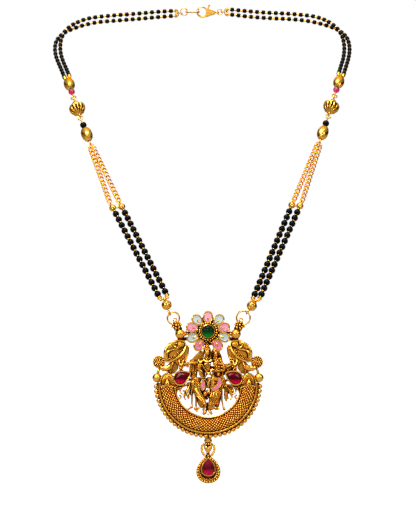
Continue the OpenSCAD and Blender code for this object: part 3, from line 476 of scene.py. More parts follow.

# Red and black side beads on the eye pins: pressed glass. The red one has painted light, dark on
# faces that look up and bright red on faces that look down, with a painted glow as if lit through.
# The pins are polished wire with an eye turned at each end.
ruby_glass = Surface("ruby_glass")
facing = ruby_glass.node("ShaderNodeNewGeometry", {}, {}, 1)
slope = ruby_glass.node("ShaderNodeSeparateXYZ", {}, {0: facing}, 2)
ruby_tone = ruby_glass.ramp(
    0.5 - slope * 0.5,
    [(0.1, (0.12, 0, 0.012)), (0.55, (0.45, 0.002, 0.07)), (0.9, (0.85, 0.01, 0.2))])
ruby = ruby_glass.paint({
    "Base Color": ruby_tone,
    "Emission Color": ruby_tone,
    "Emission Strength": 0.25,
    "Roughness": 0.08,
    "Coat Weight": 0.6,
})
dress(ruby, "ruby_bead_left", "ruby_bead_right")
dress(black, "black_bead_left", "black_bead_right")
dress(
    polished_gold,
    *[pin + side for pin in ("upper_pin_", "lantern_pin_", "lower_pin_") for side in knuckles],
)

# Lantern beads: hollow beads of antiqued gold, dark inside: a core and plugs painted dark as the
# shade in the slots and holes. Twelve ribs run from the foot to the flange with open slots between
# them, and the cone above the flange is pierced.
# Painted shade: near-black gold for cores, plugs, grounds and grooves where the shade lies.
dark_gold = metal(
    "painted_shade_gold", (0.10, 0.028, 0.002), (0.045, 0.011, 0.001), (0.006, 0.0015, 0.0004),
    0.36, 0.9)
lantern_core = turned([(0.5, -4.3), (1.3, -3.8), (2.6, -2.6), (3.45, -0.6), (3.4, 0.3), (2.6, 1.1),
                       (1.3, 3.2), (0.5, 3.9)], 36, True)
lantern_ends = [
    turned([(0.5, -4.75), (1.05, -4.75), (1.35, -4.45), (1.25, -4.1), (0.5, -4)], 28, True),
    turned([(3.5, -0.35), (4.1, -0.35), (4.3, -0.1), (4.3, 0.2), (4.05, 0.45), (3.5, 0.5)],
           48, True),
    turned([(2.4, 0.3), (3.55, 0.4), (3.6, 0.75), (3.1, 1), (2.5, 1.75), (2, 2.75), (1.68, 3.5),
            (0.9, 3.4)],
           40, True),
    turned([(0.5, 3.3), (1.55, 3.4), (1.75, 3.6), (1.55, 3.85), (1.2, 4.1), (1.15, 4.4),
            (0.5, 4.45)], 28, True),
]


def bands(rings, sides, closed=False):
    """Faces between rings that follow one another, each with as many points as sides."""
    faces = []
    for i in range(rings if closed else rings - 1):
        low, high = i * sides, (i + 1) % rings * sides
        for k in range(sides):
            n = (k + 1) % sides
            faces.append([low + k, low + n, high + n, high + k])
    return faces


def drawn(path, radius, sides=8, closed=False, squash=1.0, over=(0, 0, 1)):
    """Wire along a path; radius is one number or one for each point. Where squash isn't 1
    the wire is flattened to that share across the direction over."""
    path = np.asarray(path, float)
    count = len(path)
    radius = np.broadcast_to(np.asarray(radius, float), (count,))
    ahead = np.roll(path, -1, 0) - np.roll(path, 1, 0) if closed else np.gradient(path, axis=0)
    ahead = ahead / np.linalg.norm(ahead, axis=1)[:, None]
    turn = (math.tau * np.arange(sides) / sides)[:, None]
    side = np.asarray(over, float)
    if abs(np.dot(side, ahead[0])) > 0.95:
        side = np.array((0.3, 0.9, 0.1))
    points = []
    for centre, forward, r in zip(path, ahead, radius):
        side = unit(side - np.dot(side, forward) * forward)
        up = np.cross(forward, side)
        points += list(centre + r * (squash * np.cos(turn) * side + np.sin(turn) * up))
    faces = bands(count, sides, closed)
    if not closed:
        for end, way in ((0, -1), (count - 1, 1)):
            base = end * sides
            push = way * radius[end] * ahead[end]
            mid = path[end] + 0.7 * push + 0.7 * (points[base:base + sides] - path[end])
            first = len(points)
            points += [*mid, path[end] + push]
            for k in range(sides):
                n = (k + 1) % sides
                for face in ([base + k, base + n, first + n, first + k],
                             [first + k, first + n, first + sides]):
                    faces.append(face[::way])
    return np.array(points), faces


# Painted shade: a dark plug behind each hole of the cone, and the dark core inside.
pierced = turned([(0, -0.3), (0.46, -0.3), (0.46, 0.06), (0, 0.06)], 16)
rib_profile = (
    (0.95, -4.5), (1.7, -4), (2.65, -3.3), (3.35, -2.35), (3.75, -1.2), (3.95, -0.2))
rib_radii = (0.26, 0.34, 0.45, 0.54, 0.6, 0.62)
for side, (top, k1, k2, k3) in knuckles.items():
    lantern, inside = Cast(), Cast()
    middle, axis = along(k2, k1, 7.16), np.subtract(k1, k2)
    for form in lantern_ends:
        lantern.seat(form, middle, axis)
    for i in range(12):
        turn = math.tau * (i + 0.5) / 12
        out = np.array((math.cos(turn), math.sin(turn), 0))
        rib = [r * out + (0, 0, z) for r, z in rib_profile]
        lantern.seat(drawn(rib, rib_radii, 10, squash=0.75, over=out), middle, axis)
    for i in range(6):
        turn = math.tau * (i + 0.25) / 6
        out = np.array((0.88 * math.cos(turn), 0.88 * math.sin(turn), 0.47))
        spot = (2.42 * math.cos(turn), 2.42 * math.sin(turn), 2.0)
        lantern.seat(placed(ring_form(0.52, 0.13, 18, 6), spot, out), middle, axis)
        inside.seat(placed(pierced, spot, out), middle, axis)
    inside.seat(lantern_core, middle, axis)
    lantern.piece("lantern_" + side, polished_gold, "necklace", "gold", "lantern_bead_" + side)
    inside.piece("lantern_inside_" + side, dark_gold, "necklace", "old_gold",
                 "lantern_bead_" + side)

# Gold chains: two curb chains on each side, hung from one jump ring. Each link is
# twisted so that all of them lie flat.
dress(polished_gold, "chain_ring_left", "chain_ring_right")
balls = {
    "left_outer": ((-49.2, -105.5, -112.1), (-25.3, -139, -156.1)),
    "left_inner": ((-44.5, -105.5, -111.5), (-21.6, -139, -154.8)),
    "right_inner": ((43.3, -105.5, -110.7), (23.5, -139, -156.2)),
    "right_outer": ((47.5, -105.5, -111.1), (26.9, -139, -156.2)),
}
ring_sides = {"left_outer": -1, "left_inner": 1, "right_outer": 1, "right_inner": -1}
chain_gold = metal(
    "chain_gold", (1.0, 0.44, 0.03), (0.9, 0.28, 0.006), (0.25, 0.05, 0.001), 0.2, 0.5, -0.15)
links_a_chain, link_wire, link_width = 15, 0.37, 1.0
ring_radius, ring_drop, ring_spread = 1.5, 1.14, math.radians(32)
link_lap, chain_tuck, eye_reach = 0.33, 0.2, 3.75
for name, (ball_at, end) in balls.items():
    k2, k3 = knuckles[name.split("_")[0]][2:]
    x, y, z = axes(np.subtract(k3, k2), (0, -1, 0))
    start = k3 + ring_drop * z + ring_radius * (
        ring_sides[name] * math.sin(ring_spread) * x + math.cos(ring_spread) * z)
    stop = np.array(ball_at) - eye_reach * unit(np.subtract(end, ball_at))
    aim = unit(stop - start)
    pitch = (np.linalg.norm(stop - start) + chain_tuck + 2 * link_lap) / links_a_chain
    turn = np.linspace(0, math.tau, 28, endpoint=False)
    twist = math.radians(42) * np.sin(turn)
    wide = link_width * np.sign(np.cos(turn)) * np.abs(np.cos(turn)) ** 0.8
    long = (pitch / 2 + link_lap) * np.sin(turn)
    link = np.stack([wide * np.cos(twist), wide * np.sin(twist), long], 1)
    form = drawn(link, link_wire, closed=True, over=(1, 0, 0))
    chain = Cast()
    for i in range(links_a_chain):
        along_it = pitch * (i + 0.5) - link_lap - chain_tuck
        chain.seat(form, start + aim * along_it, aim)
    chain.piece("curb_chain_" + name, chain_gold, "necklace", "gold", "chain_" + name, sharp=180)

# Bead strings: pairs of hollow gold balls, pressed with dimples, and below them strings of
# black glass beads on gold wire with a small gold spacer after each bead.
golden_turn = math.pi * (3 - math.sqrt(5))


def dimpled(radius, dents, rows=30, sides=48, bore=0.5, reach=0.36, depth=0.11, first=0.7):
    """A round bead with its hole along Z and shallow dents spread over it."""
    low = math.asin(bore / radius)
    steps = np.linspace(low - math.pi / 2, math.pi / 2 - low, rows)
    points, faces = turned([(radius * math.cos(a), radius * math.sin(a)) for a in steps],
                           sides, True)
    share = (np.arange(dents) + 0.5) / dents
    lean, turn = np.arccos(1 - 2 * share), first + golden_turn * np.arange(dents)
    spots = np.stack([np.sin(lean) * np.cos(turn), np.sin(lean) * np.sin(turn), np.cos(lean)], 1)
    way = points / np.linalg.norm(points, axis=1)[:, None]
    off = np.arccos(np.clip(way @ spots.T, -1, 1)).min(1) / reach
    inner = np.abs(way[:, 2]) > math.cos(low) - 0.004
    dent = np.where(inner, 0, depth * np.clip(1 - off**2, 0, 1) ** 1.4)
    return points - way * radius * dent[:, None], faces


for side in knuckles:
    pair = Cast()
    outer, inner = balls[side + "_outer"], balls[side + "_inner"]
    for at, end in (outer, inner):
        pair.seat(dimpled(1.8, 16), at, np.subtract(end, at))
    way = np.subtract(inner[0], outer[0])
    pair.wire([outer[0] + 0.3 * way, inner[0] - 0.3 * way], 0.5, 14)
    name = "ball_pair_" + side
    pair.piece("dimpled_balls_" + side, polished_gold, "necklace", "gold", name, sharp=70)
dress(black, *["string_" + name for name in balls])
dress(polished_gold, *["string_wire_" + name for name in balls])

# Ends of the strings: flared cups, a dimpled round bead, its pin and the jump ring that
# carries the pendant. Polished gold.
dress(polished_gold, *[part + side for part in ("end_pin_", "jump_ring_") for side in knuckles])
trumpet = turned([(0.42, 1.2), (0.62, 1.5), (0.72, 1.1), (0.85, 0.6), (1.15, 0.15), (1.32, -0.05),
                  (1.25, -0.15), (1, 0.1), (0.66, 0.6), (0.42, 0.8)][::-1], 24, True)
plug = turned([(0.46, -0.8), (0.8, -0.65), (0.98, -0.2), (0.9, 0.35), (0.5, 0.75), (0, 0.85),
               (0, 0.4), (0.46, 0.3)], 24)
for side, low, hang in (("left", (-20.7, -143, -161.5), (-19.292, -145, -165.809)),
                        ("right", (22, -143, -162), (19.724, -145, -165.204))):
    up = unit(np.subtract(low, hang))
    base = low + 3.45 * up
    cups = Cast()
    for name in ("_outer", "_inner"):
        at, end = balls[side + name]
        way = unit(np.subtract(end, at))
        mouth = end + 2.6 * way
        neck = mouth + 1.2 * way
        cups.seat(trumpet, mouth, way)
        cups.wire([neck, base + 0.55 * unit(neck - base)], 0.5, 12)
        cups.seat(ball(0.62, 8, 14), mouth + 1.5 * way - (0, 0.35, 0), (0, 0, 1))
    cups.seat(plug, base, up)
    cups.piece("string_cups_" + side, polished_gold, "necklace", "gold", "end_cups_" + side)
    bead, name = Cast().seat(dimpled(2.55, 22, 34, 56, first=1.9), low, up), "round_bead_" + side
    bead.piece("dimpled_bead_" + side, polished_gold, "necklace", "gold", name, sharp=70)

# Crescent: a hollow half ring of sheet gold, chased all over with raised lozenges between
# two rim wires, with a row of granules soldered outside it. Painted light: highlights on the
# lozenges, shade dark in the depths.


def lift(outline, w):
    """The outline as a path at one height."""
    return np.column_stack([outline, np.full(len(outline), float(w))])


pendant_y, pendant_z = -145, -201  # where the pendant's own x, y and z begin


class Relief(Cast):
    """Forms of the pendant in its own place: x right, y up and z towards the viewer."""

    def add(self, form):
        x, y, z = np.asarray(form[0], float).T
        return super().add((np.stack([x, pendant_y - z, pendant_z + y], 1), form[1]))

    def mirrored(self):
        """The same forms again on the other side of the plane of symmetry."""
        points, faces = np.vstack(self.points), [face[::-1] for face in self.faces]
        return super().add((points * (-1, 1, 1), faces))

    def seat(self, form, at, axis=(0, 0, 1), side=(0, 1, 0)):
        return super().seat(form, at, axis, side)

    def granule(self, at, radius, rows=6, sides=10):
        return self.seat(ball(radius, rows, sides), at)

    def ring(self, count, radius, centre, size, first=0.5, rows=6, sides=9):
        """Granules on a circle, the first one a share of the spacing along."""
        for i in range(count):
            turn = math.tau * (i + first) / count
            offset = (radius * math.cos(turn), radius * math.sin(turn), 0)
            self.granule(np.add(centre, offset), size, rows, sides)

    def press(self, outline, levels, heart):
        """A form pressed from an outline: (share, w) pairs shrink it towards its heart, from
        the back to the front."""
        outline, heart = np.asarray(outline, float), np.asarray(heart, float)
        points = np.vstack([lift(heart + share * (outline - heart), w) for share, w in levels])
        back = list(range(len(outline)))
        front = [i + len(points) - len(outline) for i in back]
        return self.add((points, bands(len(levels), len(outline)) + [back[::-1], front]))

    def tapered(self, knots, sizes, steps=5, marks=None, **how):
        """Wire on a smooth path through the knots. Its radius runs through the sizes, which
        lie at even shares of it or at the marks. Returns the path."""
        path, sizes = smooth_path(knots, steps), np.atleast_1d(sizes)
        marks = np.linspace(0, 1, len(sizes)) if marks is None else marks
        self.wire(path, np.interp(np.linspace(0, 1, len(path)), marks, sizes), **how)
        return path

    def solder(self, name, material, **how):
        """All the metal of the pendant is one setting."""
        return self.piece(name, material, "pendant", "old_gold", "pendant_setting", **how)


def arc(radius, start, end, w, count):
    turn = np.radians(np.linspace(start, end, count))
    return lift(radius * np.column_stack([np.cos(turn), np.sin(turn)]), w)


random.seed(7)
r_in, r_out, back = 16.6, 24.3, -1.6
columns, cell_rows = 39, 5.3
tilt = {(i, j): (random.uniform(-1, 1), random.uniform(-1, 1), random.uniform(0.92, 1.06))
        for i in range(-120, 120) for j in range(-30, 190)}
angles = np.linspace(181.5, 358.5, 560)
fronts = np.linspace(0, 1, 52)


def crescent_height(share, turn):
    """Height of the front, a low vault chased with lozenges, and how far it stands out, which
    paints highlights on the lozenges and shade in the pits and beside the rims.
    """
    vault = 1.1 + 2.1 * math.sin(math.pi * min(max(share, 0), 1)) ** 0.7
    a = (turn - 180) / 180 * columns * 2
    b = (share - 0.5) * cell_rows * 2
    p, q = (a + b) / 2, (a - b) / 2
    cell = (math.floor(p + 0.5), math.floor(q + 0.5))
    dp, dq = p - cell[0], q - cell[1]
    lean = tilt[(cell[0] - cell[1], cell[0] + cell[1])]
    rise = (math.cos(math.pi * dp) * math.cos(math.pi * dq)) ** 0.6 * lean[2]
    if min(share, 1 - share) < 0.1:
        return vault - 0.8, 0.25
    return vault - 0.35 + 0.7 * rise + 0.08 * (lean[0] * dp + lean[1] * dq), 0.22 + 0.6 * rise


grid, painted_relief_light = [], []
for turn in angles:
    c, s = math.cos(math.radians(turn)), math.sin(math.radians(turn))
    for share in fronts:
        radius = r_in + share * (r_out - r_in)
        height, rise = crescent_height(share, turn)
        grid.append((radius * c, radius * s, height))
        painted_relief_light.append(rise)
    for radius, w in ((r_out, 0), (r_out, back), (r_in, back), (r_in, 0)):
        grid.append((radius * c, radius * s, w))
        painted_relief_light.append(0.5)
wide = len(grid) // len(angles)
first, last = list(range(wide)), list(range(len(grid) - wide, len(grid)))
faces = [face[::-1] for face in bands(len(angles), wide)] + [first, last[::-1]]
# Painted light: the relief value is stored on the shell to paint highlights and shade.
chased_gold = metal(
    "chased_gold", (1.0, 0.54, 0.09), (0.74, 0.23, 0.008), (0.03, 0.007, 0.0005), 0.26, 1.0, 0.02,
    chased=True)
shell = Relief().add((grid, faces)).solder("crescent_shell", chased_gold, sharp=180)
shell.data.attributes.new("rise", "FLOAT", "POINT").data.foreach_set("value", painted_relief_light)

rim = Relief()
rim.wire(arc(r_out - 0.05, 178, 362, 1.5, 120), 0.46, sides=10)
rim.wire(arc(r_in + 0.05, 186, 354, 1.5, 100), 0.46, sides=10)
rim.wire(arc(r_in + 0.95, 186, 354, 1.45, 90), 0.16, sides=6)
for count, start, sweep, radius, w, size, rows, sides in (
    (34, 180.2, 180, 26.05, -0.4, 1.19, 12, 18), (70, 181, 178, 24.95, 0, 0.4, 6, 8),
):
    for i in range(count):
        turn = math.radians(start + (i + 0.5) * sweep / count)
        at = (radius * math.cos(turn), radius * math.sin(turn), w)
        rim.granule(at, size, rows, sides)
rim.solder("crescent_rims", polished_gold)

# Painted shade: a dark flange behind the granules, so the gaps between them look dark.
flange = Relief()
flange.wire(arc(25.0, 180.5, 359.5, -0.7, 120), 1.0, squash=0.4, sides=8)
flange.solder("crescent_flange", dark_gold)

# Horn caps: a domed cap closes each horn of the crescent, arched with wire and granules,
# with a plain polished bell in the middle. Soldered to the shell.


def round_loop(knots, steps=6):
    """A smooth closed outline through the knots, anticlockwise seen from the front."""
    return smooth_path(knots, steps, closed=True)


cap_edge = round_loop(
    [(17.2, -0.9), (20.2, -1.2), (23.3, -0.9), (23.6, 1.2), (23, 3.2), (21.8, 4.9), (20.2, 5.8),
     (18.6, 5.3), (17.5, 3.8), (17.1, 1.6)], 5)
cast_gold = metal("cast_gold", (1.0, 0.44, 0.05), (0.5, 0.15, 0.007), (0.006, 0.0015, 0.0003),
                  0.24, 1.5, 0.13)
caps, lines = Relief(), Relief()
caps.press(cap_edge, [(0.96, -1.5), (1, -1.3), (1, 1), (0.93, 1.5), (0.8, 1.9), (0.6, 2.1),
                      (0.3, 2.2)], (20.2, 1.4))
lines.wire([(17, -1, 1.7), (18.6, -1.1, 2.5), (20.3, -1.1, 2.7), (22, -1.1, 2.5), (23.7, -1, 1.7)],
           0.38)
arch = lines.tapered(
    [(24.2, -0.4, 1.3), (23.9, 1.6, 1.5), (22.9, 3.6, 1.7), (21.2, 5.2, 1.7), (19.6, 5, 1.5),
     (18.2, 4, 1.3), (17.2, 2.4, 1.1), (16.9, 0.2, 1.1)],
    (0.46, 0.42, 0.28, 0.26), 6, (0, 0.4, 0.5, 1))
for at in arch[24:44:3]:
    lines.granule((20.3, 0.6, 1.8) + 0.84 * (at - (20.3, 0.6, 1.2)), 0.36, 6, 9)
lines.mirrored().solder("horn_lines", polished_gold)
caps.mirrored().solder("horn_caps", cast_gold)
bells = Relief()
bell_edge = round_loop([(18.7, -0.8), (20.4, -0.95), (22.1, -0.8), (21.8, 0.5), (21.2, 1.8),
                        (20.4, 2.7), (19.6, 1.8), (19, 0.5)], 4)
bells.press(bell_edge, [(0.95, 1.6), (1, 2.5), (0.97, 2.8), (0.8, 3.3), (0.55, 3.65), (0.25, 3.8)],
           (20.4, 0.3))
bells.mirrored().solder("horn_bells", polished_gold)
# Painted shadow: a dark lump in each bell stands for the shade in its slot.
slots = Relief()
slots.seat(ball(0.42, 8, 12, 1.5), (20.45, 0.3, 3.65))
slots.mirrored().solder("bell_slots", dark_gold)

# Flower: nine petals of wire-edged enamel, pink and pale aqua in turn, round a green
# cabochon in a plain bezel with a ring of granules. Each petal has a gold stamen.
petals = [
    ((0, 33.4), (0, 1), True), ((5.35, 32.1), (0.7, 0.75), False),
    ((7.95, 28.2), (0.97, 0.22), True), ((7.95, 23.4), (0.95, -0.35), False),
    ((4.75, 19.5), (0.55, -0.83), True), ((-5.35, 32), (-0.7, 0.75), False),
    ((-7.9, 28.3), (-0.97, 0.22), True), ((-7.7, 23.2), (-0.95, -0.35), False),
    ((-4.5, 19.4), (-0.55, -0.83), True)]


def petal_edge(at, out, grow=0.0, count=28, half_length=2.95, half_width=2.35):
    """Outline of a petal, blunt at its outer end, about its middle."""
    out = unit(out)
    across = np.array((-out[1], out[0]))
    t = (math.tau * np.arange(count) / count)[:, None]
    wide = (half_width + grow) * (1 + 0.12 * np.cos(t)) * np.sin(t)
    return at + out * (half_length + grow) * np.cos(t) + across * wide


# Brown in the depths, partly patina and partly painted shade, with painted highlights on the tops.
patina_and_shade_gold = metal(
    "patina_and_shade_gold", (1.0, 0.46, 0.05), (0.62, 0.19, 0.008), (0.008, 0.002, 0.0003), 0.22, 1.2, 0.08
)
flower, rosette, beading, stamens = Relief(), Relief(), Relief(), Relief()
enamel = {True: Relief(), False: Relief()}
bezel_levels = [(0.9, -1.1), (1, -0.9), (1, 0.95), (0.86, 0.95), (0.84, 0.7), (0.3, 0.7)]
enamel_levels = [
    (1, 0.72), (1, 0.95), (0.95, 1.2), (0.84, 1.34), (0.7, 1.24), (0.5, 1.16), (0.2, 1.16)]
for at, out, is_pink in petals:
    flower.press(petal_edge(at, out), bezel_levels, at)
    beading.wire(lift(petal_edge(at, out, -0.12), 1.15), 0.36, closed=True)
    enamel[is_pink].press(petal_edge(at, out, -0.36), enamel_levels, at)
    inward = -unit(out)
    spot = at + 0.45 * inward
    stamens.granule((*spot, 1.42), 0.45)
    stroke = [(*spot, 1.38), (*(spot + 0.8 * inward), 1.36), (*(spot + 1.5 * inward), 1.25)]
    stamens.wire(stroke, (0.26, 0.22, 0.16), sides=6)
heart = (0.0, 26.4)
rosette.seat(turned([(0, -1.6), (6.8, -1.6), (7.2, -1.2), (7.1, -0.5), (6.4, 0.1), (5.5, 0.4),
                     (4.9, 0.7), (3.9, 0.8), (3.3, 0.85), (0, 0.85)], 48), (*heart, 0))
beading.seat(turned([(3, 0.6), (3.65, 0.6), (3.65, 1.5), (3.45, 1.85), (3.2, 1.9), (3.05, 1.6)],
                    48, True), (*heart, 0))
flower.solder("flower_bezels", patina_and_shade_gold)
stamens.solder("petal_stamens", polished_gold)
matte_gold = metal("matte_gold", (0.62, 0.29, 0.035), (0.45, 0.18, 0.018), (0.10, 0.03, 0.004),
                   0.46, 1.4, 0.0)


def plain_back(piece):
    """The back is plain matte sheet, only the front is painted dark as shade."""
    piece.data.materials.append(matte_gold)
    for face in piece.data.polygons:
        if face.normal.y > 0.3:
            face.material_index = 1


# Painted shade: the dark ground round the cabochon and between the petals.
plain_back(rosette.solder("flower_ground", dark_gold))
beading.ring(22, 4.3, (*heart, 1.15), 0.56, rows=7, sides=11)
beading.ring(18, 5.25, (*heart, 0.85), 0.34, 0.0, 5, 8)
for lean in (20.5, 59.5, 95.5, 129.5, 163, -20.5, -59.5, -95.5, -129.5, -163):
    a = math.radians(lean)
    for reach, size, w in ((6.15, 0.5, 0.7), (7, 0.45, 0.2)):
        beading.granule((heart[0] + reach * math.sin(a), heart[1] + reach * math.cos(a), w),
                        size, 6, 9)
beading.solder("flower_beading", polished_gold)


def stone(name, light, middle, deep, shine, low, high, glow=0.12, rough=0.05):
    """Coloured glass or enamel with painted light: its colour runs from low to high along one
    axis, in metres, as shaded light in it, and glows with the same colour by glow.
    """
    surface = Surface(name)
    level = surface.node("ShaderNodeSeparateXYZ", {}, {0: surface.place()}, 2)
    cloud = surface.cloud(500.0)
    share = ((level - low) * (1 / (high - low)) + (cloud - 0.5) * 0.3).clamp()
    tone = surface.ramp(share, [(0.05, light), (0.5, middle), (0.92, deep)])
    # Painted light: the tone is also emitted, a glow though the stone is no lamp.
    return surface.paint({
        "Base Color": tone,
        "Emission Color": tone,
        "Emission Strength": glow,
        "Roughness": rough + cloud * 0.06,
        "Specular IOR Level": shine,
    })


# Painted light: bright green at the foot of the dome, near black at its top, with a painted glow.
emerald = stone("emerald_glass", (0.0, 0.22, 0.012), (0.0, 0.035, 0.006), (0.0, 0.008, 0.002), 0.1,
                -0.1775, -0.1728, 0.25)
dome = Relief()
dome.seat(turned([(0, 0.9), (3.08, 0.9), (3.08, 1.4), (2.95, 2), (2.6, 2.6), (2, 3.05),
                  (1.2, 3.35), (0.5, 3.47), (0, 3.5)], 48), (*heart, 0))
dome.piece("green_dome", emerald, "pendant", "green_stone", "green_cabochon", sharp=60)
# Painted light: the enamels shade paler towards their top and glow a little.
pink = stone("pink_enamel", (0.66, 0.17, 0.27), (0.76, 0.26, 0.38), (0.84, 0.40, 0.50), 0.5,
             -0.183, -0.166, 0.1, rough=0.2)
aqua = stone("aqua_enamel", (0.50, 0.56, 0.53), (0.40, 0.50, 0.48), (0.56, 0.64, 0.62), 0.5,
             -0.181, -0.168, 0.06, rough=0.15)
enamel[True].piece("pink_petals", pink, "pendant", "pink_enamel", "pink_stones")
enamel[False].piece("aqua_petals", aqua, "pendant", "aqua_enamel", "aqua_stones")

# Bails: a funnel of sheet with granules on it stands on a plain round ball and holds the
# jump ring. A few granules join the ball to the flower.
bails, clusters = Relief(), Relief()
foot_edge = round_loop([(13.2, 26.4), (14.8, 26.1), (16.4, 26.4), (17, 27.6), (16.4, 28.6),
                        (14.6, 28.8), (13.2, 28.4), (12.9, 27.4)], 5)
bails.press(foot_edge, [(0.92, -1.2), (1, -0.8), (1, 0.9), (0.9, 1.15), (0.4, 1.3)], (15, 27.4))
front_edge = round_loop([(14.6, 26.8), (16.2, 26.9), (17.8, 28.4), (18.2, 29.2), (17.6, 30.4),
                         (16.4, 31.2), (14.8, 31), (13.6, 30.4), (13.4, 29.2), (13.8, 27.8)], 5)
bails.press(front_edge, [(0.94, 0.95), (1, 1.05), (1, 1.25), (0.9, 1.4), (0.4, 1.5)], (15.8, 29))
for u, v, w, r in ((13.7, 29.7, 1.3, 0.62), (15.1, 30.9, 1.4, 0.62), (14.5, 28.4, 1.6, 0.64),
                   (16, 27.8, 1.6, 0.66), (15.9, 29.5, 1.75, 0.7), (17.6, 29.8, 1.75, 0.6),
                   (18.1, 28.7, 1.3, 0.52), (17.1, 28.6, 1.6, 0.5), (17, 31, 1.3, 0.55),
                   (14.1, 30.7, 1.25, 0.45), (14.6, 26.9, 1.35, 0.5), (16.2, 26.6, 1.2, 0.42),
                   (14.7, 29.6, 1.6, 0.42), (16.3, 30.6, 1.5, 0.45)):
    clusters.granule((u, v, w), r, 8, 12)
clusters.seat(ring_form(0.85, 0.32, 24, 8), (16.5, 32.0, 1.25))
clusters.seat(ring_form(1.32, 0.38, 28, 10), (14.97, 30.57, 0), (0.707, -0.707, 0), side=(0, 0, 1))
for u, v, w, r in ((11, 26.3, 0.9, 0.52), (11.3, 25.2, 1, 0.55), (10.4, 24.9, 0.8, 0.45),
                   (11.6, 24.2, 0.7, 0.42), (10.7, 27.2, 0.6, 0.4)):
    clusters.granule((u, v, w), r)
clusters.mirrored().solder("bail_granules", polished_gold)
bails.wire([(13.9, 25.2, -0.4), (9.4, 25.2, -0.5)], 0.9)
bails.wire([(13.9, 25.2, -0.4), (13.5, 21.6, -0.4)], (1.4, 1.8))
bails.wire([(10.4, 22.6, -0.9), (13.4, 22.4, -0.9)], 0.9)
bails.mirrored()
# Painted shade: the funnels and struts are dark, as the shade behind the granules.
plain_back(bails.solder("bails", dark_gold))
plain_balls = Relief()
for at, radius in (((13.95, 25, 0.6), 2.45), ((25.5, 3.1, 0), 2.3)):
    plain_balls.granule(at, radius, 16, 28)
plain_balls.mirrored().solder("plain_balls", polished_gold)

# Wings: chased shells with a rim wire, three pierced lozenges in the outer band, and a
# scroll and feathers inside. Behind each stand a hammered leaf and a matte back plate.
wing_edge = round_loop([
    (11, 18.7), (11.8, 16.6), (13.3, 14.5), (15.4, 12.7), (17.5, 11.4), (19.6, 10.8), (21.6, 11.2),
    (22.1, 13), (22.2, 14.9), (21.6, 16.8), (20.7, 18.7), (19.2, 20.3), (17.1, 21.6), (15.4, 22.1),
    (12.7, 21.8), (11.1, 20.9)], 5)
wings, veins, hollow = Relief(), Relief(), Relief()
wings.press(wing_edge, [(0.94, -1.4), (1, -1.1), (1, 0.7), (0.95, 1.05), (0.85, 1.2), (0.5, 1.3),
                        (0.2, 1.35)], (16.5, 16.6))
# the rim wire, the smooth outer band with the ridge under it, the scroll and its curl
for path, size in (
    ([(11.5, 20.9, 1.3), (11.1, 19, 1.4), (11.8, 16.9, 1.5), (13.3, 14.8, 1.5), (15.5, 13, 1.5),
      (17.9, 11.8, 1.5), (20, 11.2, 1.4), (21.6, 11.6, 1.2)],
     (0.3, 0.44, 0.5, 0.52, 0.52, 0.5, 0.44, 0.3)),
    ([(11.4, 20.9, 1.3), (12.8, 21.6, 1.3), (14.6, 21.8, 1.3), (16.4, 21.4, 1.2)],
     (0.36, 0.34, 0.3)),
    ([(14.3, 18.2, 1.5), (16.2, 17.5, 1.7), (18, 17.2, 1.8), (19.6, 16.5, 1.7), (20.4, 15, 1.6),
      (20.3, 13.2, 1.4)],
     (0.2, 0.4, 0.46, 0.42, 0.24)),
    ([(15.2, 18.4, 1.5), (16.4, 18.6, 1.6), (17.1, 19.4, 1.7), (16.7, 20.3, 1.7),
      (15.8, 20.4, 1.6)],
     (0.24, 0.42, 0.5, 0.5, 0.4)),
):
    veins.tapered(path, size)
veins.tapered(
    [(15.6, 21.2, 1), (17.6, 20.4, 1.1), (19.3, 19, 1.15), (20.5, 17.2, 1.15), (21.1, 15.2, 1.1),
     (21.1, 13.3, 1), (20.7, 12, 0.9)],
    (0.5, 1.25, 1.3, 0.5), marks=(0, 0.3, 0.6, 1), sides=16, squash=0.5)
for i in range(8):
    for j in range(3):
        wings.granule((13.6 + 0.76 * i - 0.4 * j, 16.9 - 0.6 * i - 0.62 * j, 1.42), 0.4, 6, 9)
petal = round_loop([(12, 20.3), (12.3, 19.1), (13.6, 18.5), (14.9, 18.7), (15.1, 20.1),
                    (13.8, 20.9)], 5)
wings.press(petal, [(1, 1), (1, 1.4), (0.85, 1.62), (0.4, 1.72)], (13.6, 19.7))
for path, size in (
    ([(12.1, 18.8, 1.3), (13.5, 17.95, 1.35), (15.4, 17.5, 1.35), (18.2, 16.6, 1.35),
      (19.6, 15.2, 1.3), (19.7, 13.4, 1.3)],
     0.34),
    ([(11.7, 18.9, 1.2), (12.5, 16.9, 1.3), (14, 15, 1.3), (16, 13.5, 1.3), (18.4, 12.3, 1.3)],
     0.26),
    ([(15.4, 21, 1.3), (15.3, 19.4, 1.3)], 0.3),
):
    hollow.tapered(path, size)
leaf_edge = round_loop([(9.6, 19), (9.4, 17), (10, 13.6), (11.3, 10.6), (12.8, 8.3), (14, 8.5),
                        (16, 10.4), (17.2, 12), (15.6, 13.2), (13.6, 15.2), (12.2, 17.4),
                        (11.4, 19.2)], 5)
wings.press(leaf_edge, [(0.9, -1.4), (1, -1.2), (1, -0.4), (0.93, 0), (0.7, 0.15)], (12.4, 13.4))
leaf_vein = [(9.8, 18.6, 0), (9.9, 15.6, 0.1), (10.7, 12.4, 0.2), (12, 9.6, 0.2), (13, 8.4, 0)]
veins.tapered(leaf_vein, 0.28, 6)
random.seed(11)
for i in range(46):
    v = random.uniform(9.2, 14.6)
    u = 12.3 + (14.6 - v) * 0.36 + random.uniform(-1.4, 1.4) - 1.0
    veins.granule((u, v, 0.2), random.uniform(0.24, 0.42), 5, 8)
